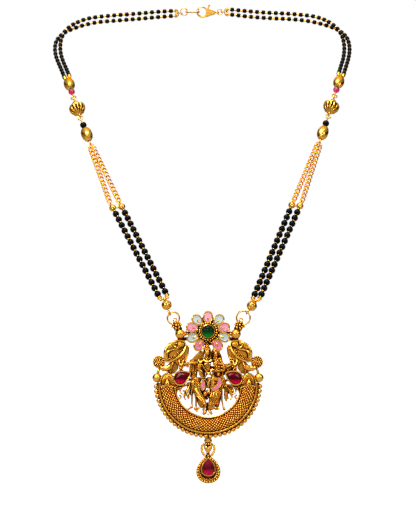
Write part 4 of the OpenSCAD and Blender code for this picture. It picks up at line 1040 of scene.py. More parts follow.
tail = veins.tapered(
    [(24, 9, 0.2), (22.6, 8, 0.5), (20.6, 7.9, 0.7), (18.9, 8.8, 0.6), (17.9, 10.4, 0.4)],
    (0.8, 1.45, 1.4, 0.8), 6, (0, 0.3, 0.7, 1), sides=14)
for i, at in enumerate(tail[1:-1]):
    reach = 1.32 if 3 < i < 20 else 1.0
    for lean in 0.42 * np.arange(-3, 4):
        off = (0.25 * (i % 2), reach * math.sin(lean), reach * math.cos(lean))
        wings.granule(at + off, 0.19, 4, 6)
for count, radius, size, w in ((15, 2.75, 0.5, 0.5), (12, 2.05, 0.42, 0.95), (9, 1.35, 0.4, 1.2),
                               (5, 0.65, 0.38, 1.35), (1, 0, 0.45, 1.5)):
    veins.ring(count, radius, (24.5, 11.0, w), size, 0.5 * (count % 2))
wings.seat(turned([(0, -1), (2.9, -1), (3, -0.4), (2.8, 0.3), (1.6, 0.9), (0, 1.1)], 28),
           (24.5, 11, 0))
wings.wire([(23.9, 8.6, -0.2), (24.7, 6.9, -0.2), (25, 5.4, 0)], (0.8, 0.6, 0.7))
for path, size in (
    ([(14.6, 12.5, 0.2), (14.3, 10.7, 0.6), (13.5, 9.4, 0.7), (12.9, 9.9, 0.7), (12.4, 11.3, 0.6),
      (11.8, 11.8, 0.4)], 0.42),
    ([(13.5, 9.4, 0.6), (13.2, 8.2, 0.5), (12.9, 7, 0.6)], 0.5),
    ([(12.4, 10.2, 0.6), (11.2, 9.5, 0.7), (10.4, 8.7, 0.6)], 0.4),
):
    wings.tapered(path, size)
for u, v, w, r in ((10.9, 10.2, 0.9, 0.6), (10.1, 8.8, 0.7, 0.6), (11.3, 11.5, 0.8, 0.5),
                   (12.3, 8.6, 0.9, 0.5), (13.5, 7.9, 0.9, 0.55), (9.8, 10, 0.6, 0.45),
                   (12.8, 7.1, 1.1, 0.45), (14.2, 7, 0.9, 0.4)):
    wings.granule((u, v, w), r)
veins.mirrored().solder("wing_veins", polished_gold)
# Painted shade: the hollows are dark wires for the shade in the grooves.
hollow.mirrored().solder("wing_hollows", dark_gold)
wings.mirrored().solder("wings", patina_and_shade_gold)

# Painted shade: the three lozenges are dark plugs for the shade in the piercings.
pierced = Relief()
for at in ((18.8, 19.6), (20.15, 17.4), (20.8, 14.9)):
    way = unit(np.array((0.637, -0.771)) + (0 if at[1] > 16 else -0.3, 0))
    over = np.array((-way[1], way[0]))
    size = 1.1 if at[1] == 17.4 else 0.6
    lozenge = [at + size * (a * way + b * over) for a, b in ((-0.75, 0.1), (-0.15, -0.45),
                                                             (0.75, -0.05), (0.15, 0.45))]
    pierced.press(lozenge, [(1, 0.9), (1, 1.8), (0.8, 1.86)], at)
pierced.mirrored().solder("wing_piercings", dark_gold)

plates = Relief()


def plate(edge, low):
    levels = [(1, low), (1, low + 0.5), (0.92, low + 0.62)]
    plates.press(round_loop(edge, 3), levels, np.mean(edge, 0))


for edge, low in (
    ([(17.4, 11.4), (15.2, 9.8), (14.8, 8), (16, 6.2), (17.7, 5), (19.6, 5.8), (21.3, 6.6),
      (20.6, 8.8), (19.2, 10.6)], -1.5),
    ([(11.4, 0.2), (16.2, 0.8), (16.5, -3.2), (14.6, -3.2), (12.6, -1.4)], -1.5),
):
    plate(edge, low)
plates.mirrored()
for edge, low in (
    ([(-3.4, 16.6), (-5.6, 15.2), (-7.6, 13), (-8.9, 11.4), (-8.2, 10), (-5.2, 10), (-2.2, 12),
      (-2, 15.2)], -1.2),
    ([(-5.2, 10.4), (-8.8, 9.8), (-9.4, 6), (-8.6, 3), (-6, 2.4), (-5.2, 6)], -1.55),
    ([(5.4, 15.9), (3, 14), (4, 9), (5.4, 4.6), (8.4, 4.4), (8.2, 8), (7.4, 11), (6.8, 14.2)],
     -1.5),
    ([(8, 9.9), (7.6, 7.4), (9.2, 5.2), (12.4, 6.6), (13.2, 9), (10.4, 10.1)], -1.45),
    ([(-4.8, -5.4), (-2.6, -8), (-1.4, -11), (-2.6, -12.2), (-4.4, -11.4), (-5.6, -8)], -1.5),
    ([(4, -6), (6.6, -4.4), (6.4, -8), (5.2, -12), (3.8, -12.6), (3.6, -9.4)], -1.5),
    ([(7.6, -0.6), (10.6, -0.4), (12.8, -2.6), (12.6, -5.6), (10.8, -5), (8.6, -4.6)], -1.5),
    ([(-10.6, 0.4), (-7.2, 0.6), (-7, -4.4), (-8.6, -6), (-9.8, -3.4)], -1.5),
):
    plate(edge, low)
# Painted shade: dark plates behind the figures, where they lie in shadow.
ground = Relief()
for edge in (
    [(-3, 13.5), (-1, 13), (-1.6, 9.5), (-1.2, 5.8), (-2.4, 3.4), (-4.4, 4.4), (-4.3, 6.5),
     (-6.8, 6.2), (-5.6, 10.4)],
    [(0.4, 15.6), (3, 16.2), (3, 11.4), (0.8, 11.4)], [(0.6, 8.8), (3.4, 8.6), (2.8, 6.6), (1, 6)],
    [(2.6, 7), (7.4, 7.2), (7.6, 4), (6.8, 2.9), (3, 3), (2.2, 4.6)],
    [(2.4, 16), (5.6, 15.6), (6.8, 12), (7.2, 7.2), (2.8, 7), (3.2, 11)],
    [(-7.8, 2.8), (-1, 2.9), (-0.9, -1.5), (-1.2, -3), (-3.4, -4.2), (-7, -4.6), (-8, -1.6)],
    [(-1, 2.9), (2, 2.9), (1.8, -1.6), (-0.9, -1.6)],
    [(2, 2.9), (7.6, 2.8), (8, -0.5), (6.4, -4), (2.6, -4.4), (0.9, -3.6), (0.8, -1.6)],
    [(-5, -4), (0.8, -3.6), (0.3, -7), (-0.7, -8), (-2.5, -7)],
    [(-0.6, -9.5), (0.2, -9.5), (0.2, -13), (-1.2, -13)],
):
    turning = sum(a[0] * b[1] - b[0] * a[1] for a, b in zip(edge, edge[1:] + edge[:1]))
    loop = round_loop(edge[::1 if turning > 0 else -1], 3)
    ground.press(loop, [(1, -1.3), (1, -0.8), (0.94, -0.7)], np.mean(edge, 0))
plain_back(ground.solder("figure_ground", dark_gold))
plates.solder("back_plates", matte_gold)

# Figures: a traditional standing pair under the flower, the taller one with one leg crossed
# before the other and the companion at the right, between sprays with curled ends. Cast in
# one with the setting, then trimmed with wire and granules. The faces are plain and calm.


def egg(at, size, rows=10, sides=16):
    points, faces = ball(1.0, rows, sides)
    points = points[:, (0, 2, 1)] * (1, 1, -1)
    return points * np.asarray(size, float) + np.asarray(at, float), faces


figures = Relief()
for path, radius in (
    # taller figure: crown, neck, chest and waist
    ([(-0.5, 20.2, 0.3), (-0.5, 18.8, 0.6), (-0.5, 17.6, 0.7)], (0.35, 1, 1.5)),
    ([(-0.55, 14.6, 0.7), (-0.5, 12.4, 0.5)], (0.75, 1)),
    ([(-3, 11.6, 0.2), (-0.4, 12.1, 0.3), (2, 11.7, 0.2)], (0.75, 0.95, 0.75)),
    ([(-0.4, 10.9, 0.1), (-0.3, 8.4, 0.2), (0, 5.9, 0.1)], (1.6, 1.45, 1)),
    ([(-0.1, 5.6, 0), (-0.9, 4.6, -0.2), (-1.8, 3.4, 0)], (0.5, 0.4, 0.5)),
    ([(0.2, 5.6, 0), (1.6, 4.6, -0.2), (2.2, 3.2, 0)], (0.5, 0.4, 0.5)),
    # arms of the taller figure: one bent to the waist, one held out with a flower bud
    ([(-3.4, 11.2, 0.3), (-4.4, 9.2, 0.9), (-4.2, 7.2, 1.1), (-3.3, 5, 1.2), (-2.9, 3.4, 1.2)],
     (0.8, 0.95, 0.85, 0.75, 0.6)),
    ([(-4.6, 11, 0.3), (-6.4, 10.5, 0.7), (-8.2, 10.7, 0.9), (-9.6, 9.9, 0.8)],
     (0.65, 0.75, 0.6, 0.5)),
    ([(-7.4, 11.8, 0.8), (-8.6, 11.4, 0.8)], (0.6, 0.5)),
    ([(-9.6, 9.9, 0.7), (-11.4, 9.4, 0.3), (-12.8, 9.6, -0.3)], (0.45, 0.5, 0.5)),
    ([(-5.6, 9.4, 0), (-6, 6.4, 0.2), (-6.9, 3.4, 0.2)], (0.6, 0.55, 0.6)),
    ([(-7.2, 9.6, -0.3), (-7.4, 6.4, -0.2), (-7.9, 2.6, 0)], (0.5, 0.6, 0.6)),
    # hips and legs
    ([(-6, 2.2, 0.1), (-5.4, -0.6, 0.4), (-5, -2.2, 0.4)], (1.15, 1.5, 1.3)),
    ([(-2.6, 2.2, 0), (-2.6, -2.6, 0.1)], (1.2, 1.4)),
    ([(0.4, 2.4, 0), (0.2, -1, 0.1)], (1, 1.1)),
    ([(2.4, 2.4, 0), (2.8, -1.6, 0.1)], (1.2, 1.6)),
    ([(5.6, 2.4, 0), (5.4, -0.6, 0.1), (3.6, -2.4, 0.1)], (1.3, 1.7, 1.4)),
    ([(-6, -2.6, 0.5), (-4.6, -5.2, 0.9), (-2.7, -7.7, 1), (-1.3, -9.6, 0.8)],
     (1.25, 1.35, 1, 0.6)),
    ([(-1.3, -9.6, 0.8), (-1.3, -11, 0.8), (-2.2, -12.4, 0.5), (-2, -13.6, 0.5)],
     (0.6, 0.42, 0.45, 0.6)),
    ([(4.2, -3.9, 0.7), (3, -6.6, 1), (1.8, -9.4, 1), (1, -11.8, 0.8), (0.8, -13, 0.8)],
     (1.75, 1.7, 1.35, 0.95, 0.5)),
    ([(2.6, -3.8, 0.6), (1.8, -7, 0.8), (0.9, -10, 0.8)], (1.1, 1.1, 0.7)),
    ([(5.2, -4, 0.5), (4.2, -6.8, 0.7), (2.6, -9.8, 0.7)], (1.1, 0.9, 0.6)),
    ([(-2.1, -14.7, 0.6), (-1.5, -14.1, 1.2), (-1, -13.5, 0.8)], (0.65, 0.8, 0.5)),
    ([(0.5, -13.1, 0.8), (1.2, -14, 1.3), (1.7, -14.8, 0.9)], (0.5, 0.62, 0.5)),
    ([(-0.2, -3.4, 0.8), (0.6, -4, 1.2), (1.2, -4.5, 1)], (0.6, 0.85, 0.7)),
    ([(-1.6, -5.4, 1.3), (-1.3, -4.6, 1.5)], (0.85, 0.9)),
    ([(-0.2, -6.6, 0.8), (0.2, -6.3, 0.8)], (0.5, 0.4)),
    # companion: bun, neck, body, arm and skirt
    ([(1.9, 15.9, 0.6), (3.2, 16.9, 0.7), (4.7, 16.4, 0.5), (5.3, 15, 0.3)],
     (0.45, 0.9, 0.9, 0.6)),
    ([(3.9, 13.9, 0.5), (4.3, 12.8, 0.4)], (0.65, 0.85)),
    ([(3.8, 12.4, 0.2), (4.7, 10.2, 0.5), (5, 8, 0.4)], (1.3, 1.85, 1.7)),
    ([(5.9, 12.2, 0.1), (7, 9.8, 0.5), (7.9, 7.6, 0.9), (7.2, 6.4, 1)], (0.9, 0.85, 0.7, 0.5)),
    ([(3, 6.9, 0.4), (5, 6.6, 0.6), (7, 6.9, 0.4)], (0.65, 0.85, 0.65)),
    ([(2.9, 6.3, 0.4), (2.4, 4.7, 0.3), (3.3, 3.5, 0.3), (5, 3.1, 0.3), (6.8, 3.7, 0.3),
      (7.4, 5.5, 0.4), (7, 6.6, 0.4)], (0.34, 0.34)),
    ([(7.4, 3, -0.3), (8.3, 0, -0.4), (8.6, -2.4, -0.4)], (0.8, 0.8, 0.6)),
    # what ties the pair to the wings, the stones and the crescent
    ([(8.2, 5.4, -0.5), (10, 7, -0.5), (11.8, 8.4, -0.6)], (0.5, 0.6, 0.7)),
    ([(-7.9, 1.8, -0.4), (-9.4, 2.2, -0.6), (-10.6, 2.6, -0.6)], (0.6, 0.5, 0.6)),
    ([(7.6, 1.2, -0.4), (9.4, 1.8, -0.6), (10.6, 2.6, -0.6)], (0.6, 0.5, 0.6)),
    ([(-8, -3, -0.3), (-8, -7, -0.4), (-8.1, -10.4, -0.5)], (0.55, 0.42, 0.34)),
    ([(-8.1, -10.4, -0.5), (-8.2, -11.6, -0.5)], (0.4, 0.62)),
    ([(-8.4, -11.6, -0.6), (-9.8, -12.6, -0.8), (-10.8, -13, -0.8)], (0.4, 0.4, 0.6)),
    ([(-6.3, -4.4, 0), (-6, -8, -0.1), (-6, -11.2, -0.1)], (0.6, 0.42, 0.42)),
    ([(6.7, -3.2, 0), (6.9, -7.6, 0), (7.5, -11, 0)], (0.55, 0.42, 0.3)),
    ([(7.5, -11, 0), (8.1, -12.5, 0)], (0.36, 0.62)),
    ([(-9.3, -2.4, -0.2), (-9.9, -5, -0.2), (-9.8, -6.9, -0.2)], (0.5, 0.55, 0.5)),
    ([(5.8, -5.4, 0), (4.9, -9, 0), (4.3, -12.2, 0)], (0.45, 0.4, 0.4)),
    ([(8.6, -1.2, -0.3), (8.9, -4, -0.2), (9, -5.6, -0.1)], (0.6, 0.8, 0.95)),
    ([(9, -5.6, -0.1), (8.5, -7.2, -0.1)], (0.6, 0.42)),
    ([(9, -5.6, -0.1), (9.1, -8.3, -0.1)], (0.6, 0.45)),
    ([(9.1, -5.4, -0.1), (9.9, -7.1, -0.1)], (0.6, 0.42)),
):
    steps = 5 if len(path) > 2 else 1
    figures.tapered(path, 1.22 * np.array(radius), steps, sides=12)
for edge, top in (
    ([(-8.1, 1.4), (-7.9, -1.4), (-7, -3.8), (-5.2, -6.2), (-3.4, -8.3), (-1.9, -10.2),
      (-1.3, -11.4), (-0.9, -10.2), (-1.5, -8), (-2.5, -6), (-3.5, -4.3), (-4.4, -2.4), (-4.6, 0),
      (-5.4, 2.2), (-7, 2.6)], 1.5),
    ([(1.5, -4), (0.9, -6.2), (0.3, -8.6), (0, -11), (0.2, -12.9), (1.4, -13.2), (2.6, -12.8),
      (3.7, -10.8), (5, -8.6), (6.1, -6.4), (6.9, -4.2), (5.8, -3.4), (3.4, -3.8)], 1.7),
    ([(2, 2.6), (1.8, -0.6), (1.6, -3), (3, -4), (5, -3.9), (7, -2.4), (8.1, 0.2), (7.8, 2.4),
      (5, 2.8)],
     1.0),
):
    loop = round_loop(edge, 4)
    levels = [(0.94, -0.5), (1, 0), (0.97, 0.55 * top), (0.88, 0.85 * top), (0.72, top)]
    figures.press(loop, levels, np.mean(loop, 0))
for at, size in (
    ((-0.5, 16, 1.15), (1.38, 1.85, 1.3)), ((-0.35, 9.4, 0.9), (1.45, 1.35, 0.9)),
    ((3.9, 15, 0.85), (1.15, 1.5, 1.1)), ((5.25, 4.75, 0.9), (0.9, 1.2, 0.9)),
    ((5.25, 5.9, 0.9), (0.45, 0.6, 0.45)), ((4.4, -12.3, 0.2), (1.5, 0.7, 1.1)),
    ((-6.2, -12.3, -0.1), (0.95, 0.95, 0.8)), ((-4.8, -12.2, -0.1), (0.7, 0.6, 0.6)),
    ((-5.6, -13.4, -0.1), (0.6, 0.6, 0.6)),
    # plain faces: brow, nose, lips and chin on both heads
    ((-0.5, 15.85, 2.4), (0.17, 0.42, 0.3)), ((-0.5, 15.1, 2.3), (0.36, 0.13, 0.2)),
    ((-0.5, 14.75, 2.05), (0.4, 0.3, 0.35)), ((-1, 16.2, 2.2), (0.3, 0.12, 0.2)),
    ((0, 16.2, 2.2), (0.3, 0.12, 0.2)), ((-1.05, 15.5, 1.95), (0.4, 0.4, 0.35)),
    ((0.05, 15.5, 1.95), (0.4, 0.4, 0.35)),
    ((3.8, 14.85, 1.95), (0.15, 0.34, 0.24)), ((3.8, 14.25, 1.82), (0.3, 0.11, 0.18)),
    ((3.4, 15.15, 1.75), (0.24, 0.1, 0.2)), ((4.25, 15.15, 1.75), (0.24, 0.1, 0.2)),
):
    figures.add(egg(at, size))
bodies = figures.solder("figures", cast_gold, sharp=180)
merge = bodies.modifiers.new("merge", "REMESH")
merge.mode, merge.voxel_size, merge.use_smooth_shade = "VOXEL", 0.16 * MM, True
depsgraph = bpy.context.evaluated_depsgraph_get()
merged = bpy.data.meshes.new_from_object(bodies.evaluated_get(depsgraph))
bodies.modifiers.clear()
bodies.data = merged
merged.materials.clear()
merged.materials.append(cast_gold)

skin = BVHTree.FromPolygons([v.co for v in merged.vertices], [f.vertices for f in merged.polygons])


in_front = -0.16


def laid(path, sink):
    """The path brought forward to lie on the bodies, where they are in front of it."""
    path = np.array(path, float)
    for at in path:
        hit = skin.ray_cast((at[0] * MM, in_front, (at[1] + pendant_z) * MM), (0, 1, 0))[0]
        if hit:
            at[2] = max(at[2], pendant_y - hit[1] / MM + sink)
    return path


heads, locks = Relief(), Relief()
for (u, v, w), size in (((-0.5, 16, 1.25), 1.4), ((3.9, 15, 0.95), 1.16)):
    def on_head(*share):
        """A place on the head, in shares of its size."""
        return np.array((u, v, w)) + np.array(share) * size

    heads.add(egg((u, v, w), (size, 1.3 * size, size), 14, 20))
    heads.add(egg(on_head(0, -0.32, 0.96), (0.13 * size, 0.3 * size, 0.2 * size)))
    heads.add(egg(on_head(0, -0.74, 0.8), (0.3 * size, 0.1 * size, 0.16 * size)))
    for way in (-1, 1):
        eye = (0.24 * size, 0.09 * size, 0.12 * size)
        locks.add(egg(on_head(way * 0.42, 0.02, 0.86), eye))
        brow = [on_head(way * 0.2, 0.22, 0.97), on_head(way * 0.68, 0.2, 0.76)]
        heads.wire(brow, 0.07 * size, sides=6)
        lock = [on_head(way * 0.5, 1.1, 0.5), on_head(way * 1.05, 0.3, 0.35),
                on_head(way * 1.1, -0.9, 0.2)]
        locks.tapered(lock, 0.2 * size)
heads.solder("heads", polished_gold)
# Painted shade: the eyes and the locks at the sides of the heads are dark.
locks.solder("hair", dark_gold)
trim = Relief()
for path, size in (
    ([(-2.1, 12.1, 1.3), (-1.4, 11.45, 1.6), (-0.3, 11.2, 1.7), (0.9, 11.45, 1.6), (1.6, 12, 1.3)],
     0.36),
    ([(-4.9, 11.9, 1.1), (-4.2, 11.1, 1.5), (-3.2, 11.2, 1.5), (-2.2, 12, 1.3)], 0.34),
    ([(-3, 9.7, 1.5), (-1.9, 8, 1.9), (-0.8, 6.2, 1.6)], 0.26),
    ([(-0.9, 6.9, 1.4), (-0.5, 5.8, 1.6), (0.3, 5.4, 1.7), (1.1, 5.9, 1.6), (1.6, 6.9, 1.3),
      (2.6, 7.2, 1.1)], 0.42),
    ([(-1.6, 10, 1.8), (-0.3, 10.5, 2), (1, 10, 1.8), (0.5, 8.6, 1.9), (-0.3, 7.7, 1.8),
      (-1.1, 8.6, 1.9), (-1.6, 10, 1.8)], 0.24),
    ([(-2.2, 17.4, 1), (-2.5, 15.8, 1.1), (-2, 14.2, 1.2), (-2.2, 12.6, 1.1)], 0.26),
    ([(1.2, 17.4, 1), (1.5, 15.8, 1.1), (1.1, 14.2, 1.2), (1.5, 12.6, 1.1)], 0.26),
    ([(-1.9, 17.5, 1.6), (-0.5, 17.15, 2.2), (0.9, 17.5, 1.6)], 0.3),
    ([(-3.5, 7, 1.9), (-3.1, 5.2, 1.9)], 0.3),
    ([(-3.7, 3.3, 1.5), (-2.9, 3.15, 1.9), (-2.1, 3.3, 1.5)], 0.3),
    ([(-5.2, 8.9, 1.5), (-4.3, 8.5, 2), (-3.5, 8.9, 1.5)], 0.22),
    ([(2.3, 15.9, 1.2), (3.3, 16.5, 1.7), (4.7, 16, 1.5)], 0.26),
    ([(-1.5, 2.4, 1.1), (-0.4, 0.9, 1.3), (0.4, -0.9, 1.3)], 0.2),
    ([(1, 2.4, 1.1), (0.6, 0.9, 1.3), (1.2, -1.2, 1.3), (1.6, -3, 1.2)], 0.2),
    ([(1.2, 2.3, 1.1), (-0.2, -0.2, 1.2), (-1, -1.6, 1.2)], 0.2),
    ([(-7.2, 2.4, 0.8), (-7.6, 0, 0.9), (-8, -2.4, 0.7), (-8.3, -5, 0.4)], 0.26),
    ([(7.4, 2.4, 0.9), (7.7, 0.4, 1), (7, -2.2, 1), (6.2, -4.8, 0.8)], 0.24),
    ([(-7.9, 1, 0.9), (-7.8, -1.4, 0.9), (-6.9, -3.8, 0.9), (-5.1, -6.2, 0.9), (-3.3, -8.3, 0.9),
      (-1.8, -10.3, 0.9)], 0.3),
    ([(-4.7, -0.4, 0.9), (-4.5, -2.4, 0.9), (-3.6, -4.3, 0.9), (-2.6, -6, 0.9), (-1.5, -8.2, 0.9),
      (-1, -10.4, 0.9)], 0.3),
    ([(1.9, -4.2, 1.4), (1.2, -7, 1.6), (0.4, -10, 1.4), (0.6, -12, 1.2)], 0.24),
    ([(3, -4, 1.9), (2.3, -7, 2.2), (1.4, -10, 2), (1, -12.4, 1.6)], 0.24),
    ([(4.5, -4, 2.1), (3.6, -7, 2.3), (2.3, -10, 2), (1.4, -12.4, 1.5)], 0.24),
    ([(5.9, -4.2, 1.4), (4.8, -7.2, 1.5), (3.2, -10.2, 1.4), (1.8, -12.6, 1.2)], 0.24),
    ([(8.5, -1, 0.6), (8.3, -3.8, 0.8), (8.5, -6, 0.9)], 0.2),
    ([(9.2, -1, 0.6), (9.6, -3.8, 0.8), (9.4, -6, 0.9)], 0.2),
    ([(3, -12, 0.9), (4.3, -11.7, 1.3), (5.8, -12.1, 0.9)], 0.24),
    ([(5, -8.2, 0.4), (4.4, -10.4, 0.5), (4.4, -12, 0.7)], 0.26),
):
    trim.wire(laid(smooth_path(path, 6), 0.25 * size), size, sides=8)
for start, stop, count, size in (
    ((-2, 17.9, 1.4), (1, 17.9, 1.4), 5, 0.36), ((-1.5, 18.7, 1.3), (0.6, 18.7, 1.3), 4, 0.34),
    ((-1, 19.4, 1), (0.1, 19.4, 1), 3, 0.3), ((-0.45, 20.1, 0.7), (-0.45, 20.7, 0.4), 2, 0.3),
    ((-2.4, 13.4, 1.2), (1.4, 13.2, 1.2), 8, 0.22), ((-1.7, 12.6, 1.5), (0.9, 12.6, 1.5), 7, 0.22),
    ((-0.75, 14.1, 1.6), (-0.6, 12.2, 1.7), 5, 0.26),
    ((-6.9, 2.4, 1.3), (-3.9, 2.6, 1.3), 6, 0.3), ((-7.1, 1.6, 1.4), (-4.1, 1.6, 1.5), 6, 0.3),
    ((-7.2, 0.6, 1.5), (-4.3, 0.5, 1.7), 6, 0.3), ((-7.2, -0.4, 1.6), (-4.3, -0.6, 1.8), 6, 0.3),
    ((-7, -1.4, 1.6), (-4.2, -1.7, 1.7), 6, 0.3),
    ((7.3, 1.6, 1.2), (7.2, -1.4, 1.3), 5, 0.33), ((6.9, -1.8, 1.4), (4.4, -3.6, 1.6), 6, 0.36),
    ((7.4, -2.2, 1.1), (5.6, -4, 1.3), 4, 0.33),
    ((2.4, -4.6, 2), (0.7, -11.6, 1.9), 14, 0.2), ((3.8, -4.6, 2.4), (1.8, -11.4, 2), 14, 0.2),
    ((5.2, -4.6, 1.9), (2.8, -11.2, 1.6), 13, 0.2),
    ((3, 13.3, 1.4), (5.4, 12.7, 1.4), 3, 0.46), ((3.6, 12, 1.5), (6.2, 11.4, 1.6), 3, 0.5),
    ((3.2, 10.7, 1.8), (6.4, 10, 1.9), 4, 0.44), ((3, 9.2, 2.1), (6.8, 8.6, 2.1), 4, 0.5),
    ((2.8, 7.1, 1.1), (7, 6.9, 1.1), 7, 0.4),
    ((-6.6, 11, 1.4), (-5.2, 10.7, 1.4), 3, 0.32), ((-6.2, 9.4, 0.6), (-6.5, 4.2, 0.7), 8, 0.28),
    ((-7.6, 12.6, 1.2), (-9, 11.8, 1.1), 4, 0.34), ((-9.8, 10.8, 0.9), (-12.4, 10.2, 0.2),
                                                    5, 0.36),
    ((-8.6, 1.6, 0.3), (-9.4, -1.2, 0.2), 5, 0.36),
    ((0.1, -15, 0.9), (0.1, -15.3, 0.5), 2, 0.4), ((-1.4, 2.8, 1), (1.8, 2.8, 1), 5, 0.3),
    ((-8.2, 8.8, 0.1), (-7.2, 3, 0.4), 7, 0.2),
):
    for at in laid(np.linspace(start, stop, count), 0.35 * size):
        trim.granule(at, size, 6, 9)
for at, size in (((2.5, 1.35, 1.5), 0.62), ((3.4, 0.1, 1.7), 0.7)):
    trim.seat(ring_form(size, 0.24, 20, 8), at)
shares = (0, 0.25, 0.5, 0.75, 1)
outer_hem = ((-7.8, -6.9, -5.1, -3.3, -1.8), (-1.4, -3.8, -6.2, -8.3, -10.3))
inner_hem = ((-4.5, -3.6, -2.6, -1.5, -1), (-2, -4, -5.8, -8, -10))
for t in np.linspace(0.06, 0.94, 13):
    start, stop = (
        np.array([*(np.interp(t, shares, line) for line in hem), 0.5])
        for hem in (outer_hem, inner_hem)
    )
    fold = smooth_path([start, (start + stop) / 2, stop], 4)
    trim.wire(laid(fold, 0.02), 0.2, sides=6)
sprays = Relief()
for path, size in (
    ([(8.8, -0.2), (11, -0.7), (12.9, -1.6), (13.9, -3.2), (13.3, -4.7), (11.9, -4.7),
      (11.5, -3.6), (12.4, -3.2)],
     (0.5, 0.42, 0.3)),
    ([(13.6, -2.4), (15.2, -3), (15.9, -4.8), (15.5, -6.6), (14.2, -7.2), (13.4, -6.3),
      (14, -5.6)],
     (0.42, 0.42, 0.3)),
    ([(9, -1.2), (10.4, -2.6), (11.2, -4.6), (11.9, -6.4), (11.2, -7.4)], (0.4, 0.6, 0.35)),
    ([(14.9, -0.2), (15.6, -1.4), (16.4, -1)], (0.4, 0.4, 0.3)),
):
    sprays.tapered([(*at, -0.2 + 0.1 * i) for i, at in enumerate(path)], size)
for u, v, r in ((12.3, -3.4, 0.5), (14.1, -5.7, 0.5), (13.9, -1.9, 0.55), (15.9, -4.9, 0.45),
                (11.3, -7.6, 0.5), (10.6, -0.3, 0.45), (11.9, -0.6, 0.45), (14.9, -2.2, 0.4)):
    sprays.granule((u, v, 0.5), r)
sprays.mirrored().solder("sprays", patina_and_shade_gold)
trim.solder("figure_trim", polished_gold)

# Small enamels of the skirts: a pink lozenge, a pink crescent and a pale sliver, each in a
# cell of fine wire.
cells, rosy, pale_aqua = Relief(), Relief(), Relief()
for edge, lump, w in (
    ([(-2.55, 2.4), (-3.4, 1), (-3.85, -0.8), (-3.4, -2.4), (-2.6, -3.1), (-1.8, -2.2),
      (-1.4, -0.4), (-1.8, 1.1)],
     rosy, 1.9),
    ([(5, 2.9), (6.3, 2.8), (6.9, 1.2), (6.4, -0.7), (5, -2.2), (3.2, -3.1), (1.9, -3.1),
      (2, -1.9), (3.4, -1.2), (4.6, 0), (4.8, 1.6)], rosy, 2.4),
    ([(-9.1, -0.9), (-9.9, -2), (-10.9, -4.4), (-10.8, -5.9), (-9.9, -4.8), (-9.2, -2.8)],
     pale_aqua, 1),
):
    loop = round_loop(edge, 4)
    cells.wire(lift(loop, w), 0.26, closed=True)
    ahead = np.roll(loop, -1, 0) - np.roll(loop, 1, 0)
    normal = np.column_stack([-ahead[:, 1], ahead[:, 0]])
    normal /= np.linalg.norm(normal, axis=1)[:, None]
    following = np.roll(loop, -1, 0)
    if np.sum(loop[:, 0] * following[:, 1] - following[:, 0] * loop[:, 1]) < 0:
        loop, normal = loop[::-1], -normal[::-1]
    inner, soft = loop + 0.14 * normal, loop + 0.34 * normal
    points = np.vstack([lift(inner, w - 1.0), lift(inner, w + 0.05), lift(soft, w + 0.22)])
    back, count = list(range(len(loop))), len(loop)
    lump.add((points, bands(3, count) + [back[::-1], [2 * count + k for k in back]]))
cells.solder("enamel_cells", polished_gold)
rosy.piece("pink_enamels", pink, "pendant", "pink_enamel", "pink_stones")
pale_aqua.piece("aqua_enamels", aqua, "pendant", "aqua_enamel", "aqua_stones")

# Pear stones at both sides: faceted red glass in bezels of thin wire, with a point towards
# the middle. They are held by struts to the horns and the figures.


def pear_edge(length, width, count, at=(0, 0), turn=0.0, slim=0.7):
    """Outline of a pear, its point up before it is turned anticlockwise by degrees. The lower
    slim is, the rounder are its shoulders."""
    t = math.tau * np.arange(count) / count
    peak = 2 * ((1 + slim) / (2 + slim)) ** ((1 + slim) / 2) / math.sqrt(2 + slim)
    x = width / 2 * np.sin(t) * np.sin(t / 2) ** slim / peak
    y = length / 2 * np.cos(t)
    a = math.radians(turn)
    flat = np.stack([x * math.cos(a) - y * math.sin(a), x * math.sin(a) + y * math.cos(a)], 1)
    return (flat + at)[::-1]


def cut_pear(length, width, at, turn, w, high):
    """A faceted pear: girdle, two rows of crown facets and the table."""
    girdle = pear_edge(length, width, 16, at, turn)
    middle = pear_edge(length * 0.76, width * 0.78, 32, at, turn)[1::4]
    table = pear_edge(length * 0.52, width * 0.54, 8, at, turn)
    points = np.vstack([lift(girdle, w), lift(girdle, w + 0.22 * high),
                        lift(middle, w + 0.66 * high), lift(table, w + high)])
    faces = [list(range(16))[::-1], *bands(2, 16)]
    for k in range(8):
        a0, a1, a2 = 16 + 2 * k, 16 + 2 * k + 1, 16 + (2 * k + 2) % 16
        m, after = 32 + k, 32 + (k + 1) % 8
        t0, t1 = 40 + k, 40 + (k + 1) % 8
        faces += [[a0, a1, m], [a1, a2, m], [a2, after, m], [t1, m, after], [t0, m, t1]]
    return points, faces + [[40 + k for k in range(8)]]


# Painted light: bright red at the foot of each pear, dark above, with a painted glow.
garnet = stone("red_glass", (0.6, 0.0, 0.045), (0.035, 0.0, 0.002), (0.12, 0.0, 0.008), 0.12,
               -0.2004, -0.1958, 0.22, rough=0.03)
pear_way, pear_spot = 62, np.array((12.85, 3.45))
pear_mounts, pear_wires = Relief(), Relief()
pear_mounts.press(pear_edge(9.0, 6.7, 40, pear_spot, pear_way),
                  [(0.94, -1.4), (1, -1.2), (1, 0.6), (0.97, 0.75), (0.85, 0.7)], pear_spot)
pear_wires.wire(lift(pear_edge(9.0, 6.7, 48, pear_spot, pear_way), 0.95), 0.4, closed=True)
for path, size in (
    ([(15.4, 1.2, -0.5), (16.4, -0.4, -0.4), (17.6, -1.6, -0.4)], 0.7),
    ([(13.4, 6.6, -0.5), (13.9, 8.2, -0.6)], 0.7), ([(18.9, 5, -0.4), (19.2, 7.2, -0.2)], 0.9),
    ([(22.6, 3.2, -0.2), (25.2, 3.4, 0)], 1), ([(9.6, 2.2, -0.6), (11.2, 2.6, -0.6)], 0.55),
):
    pear_mounts.wire(path, size)
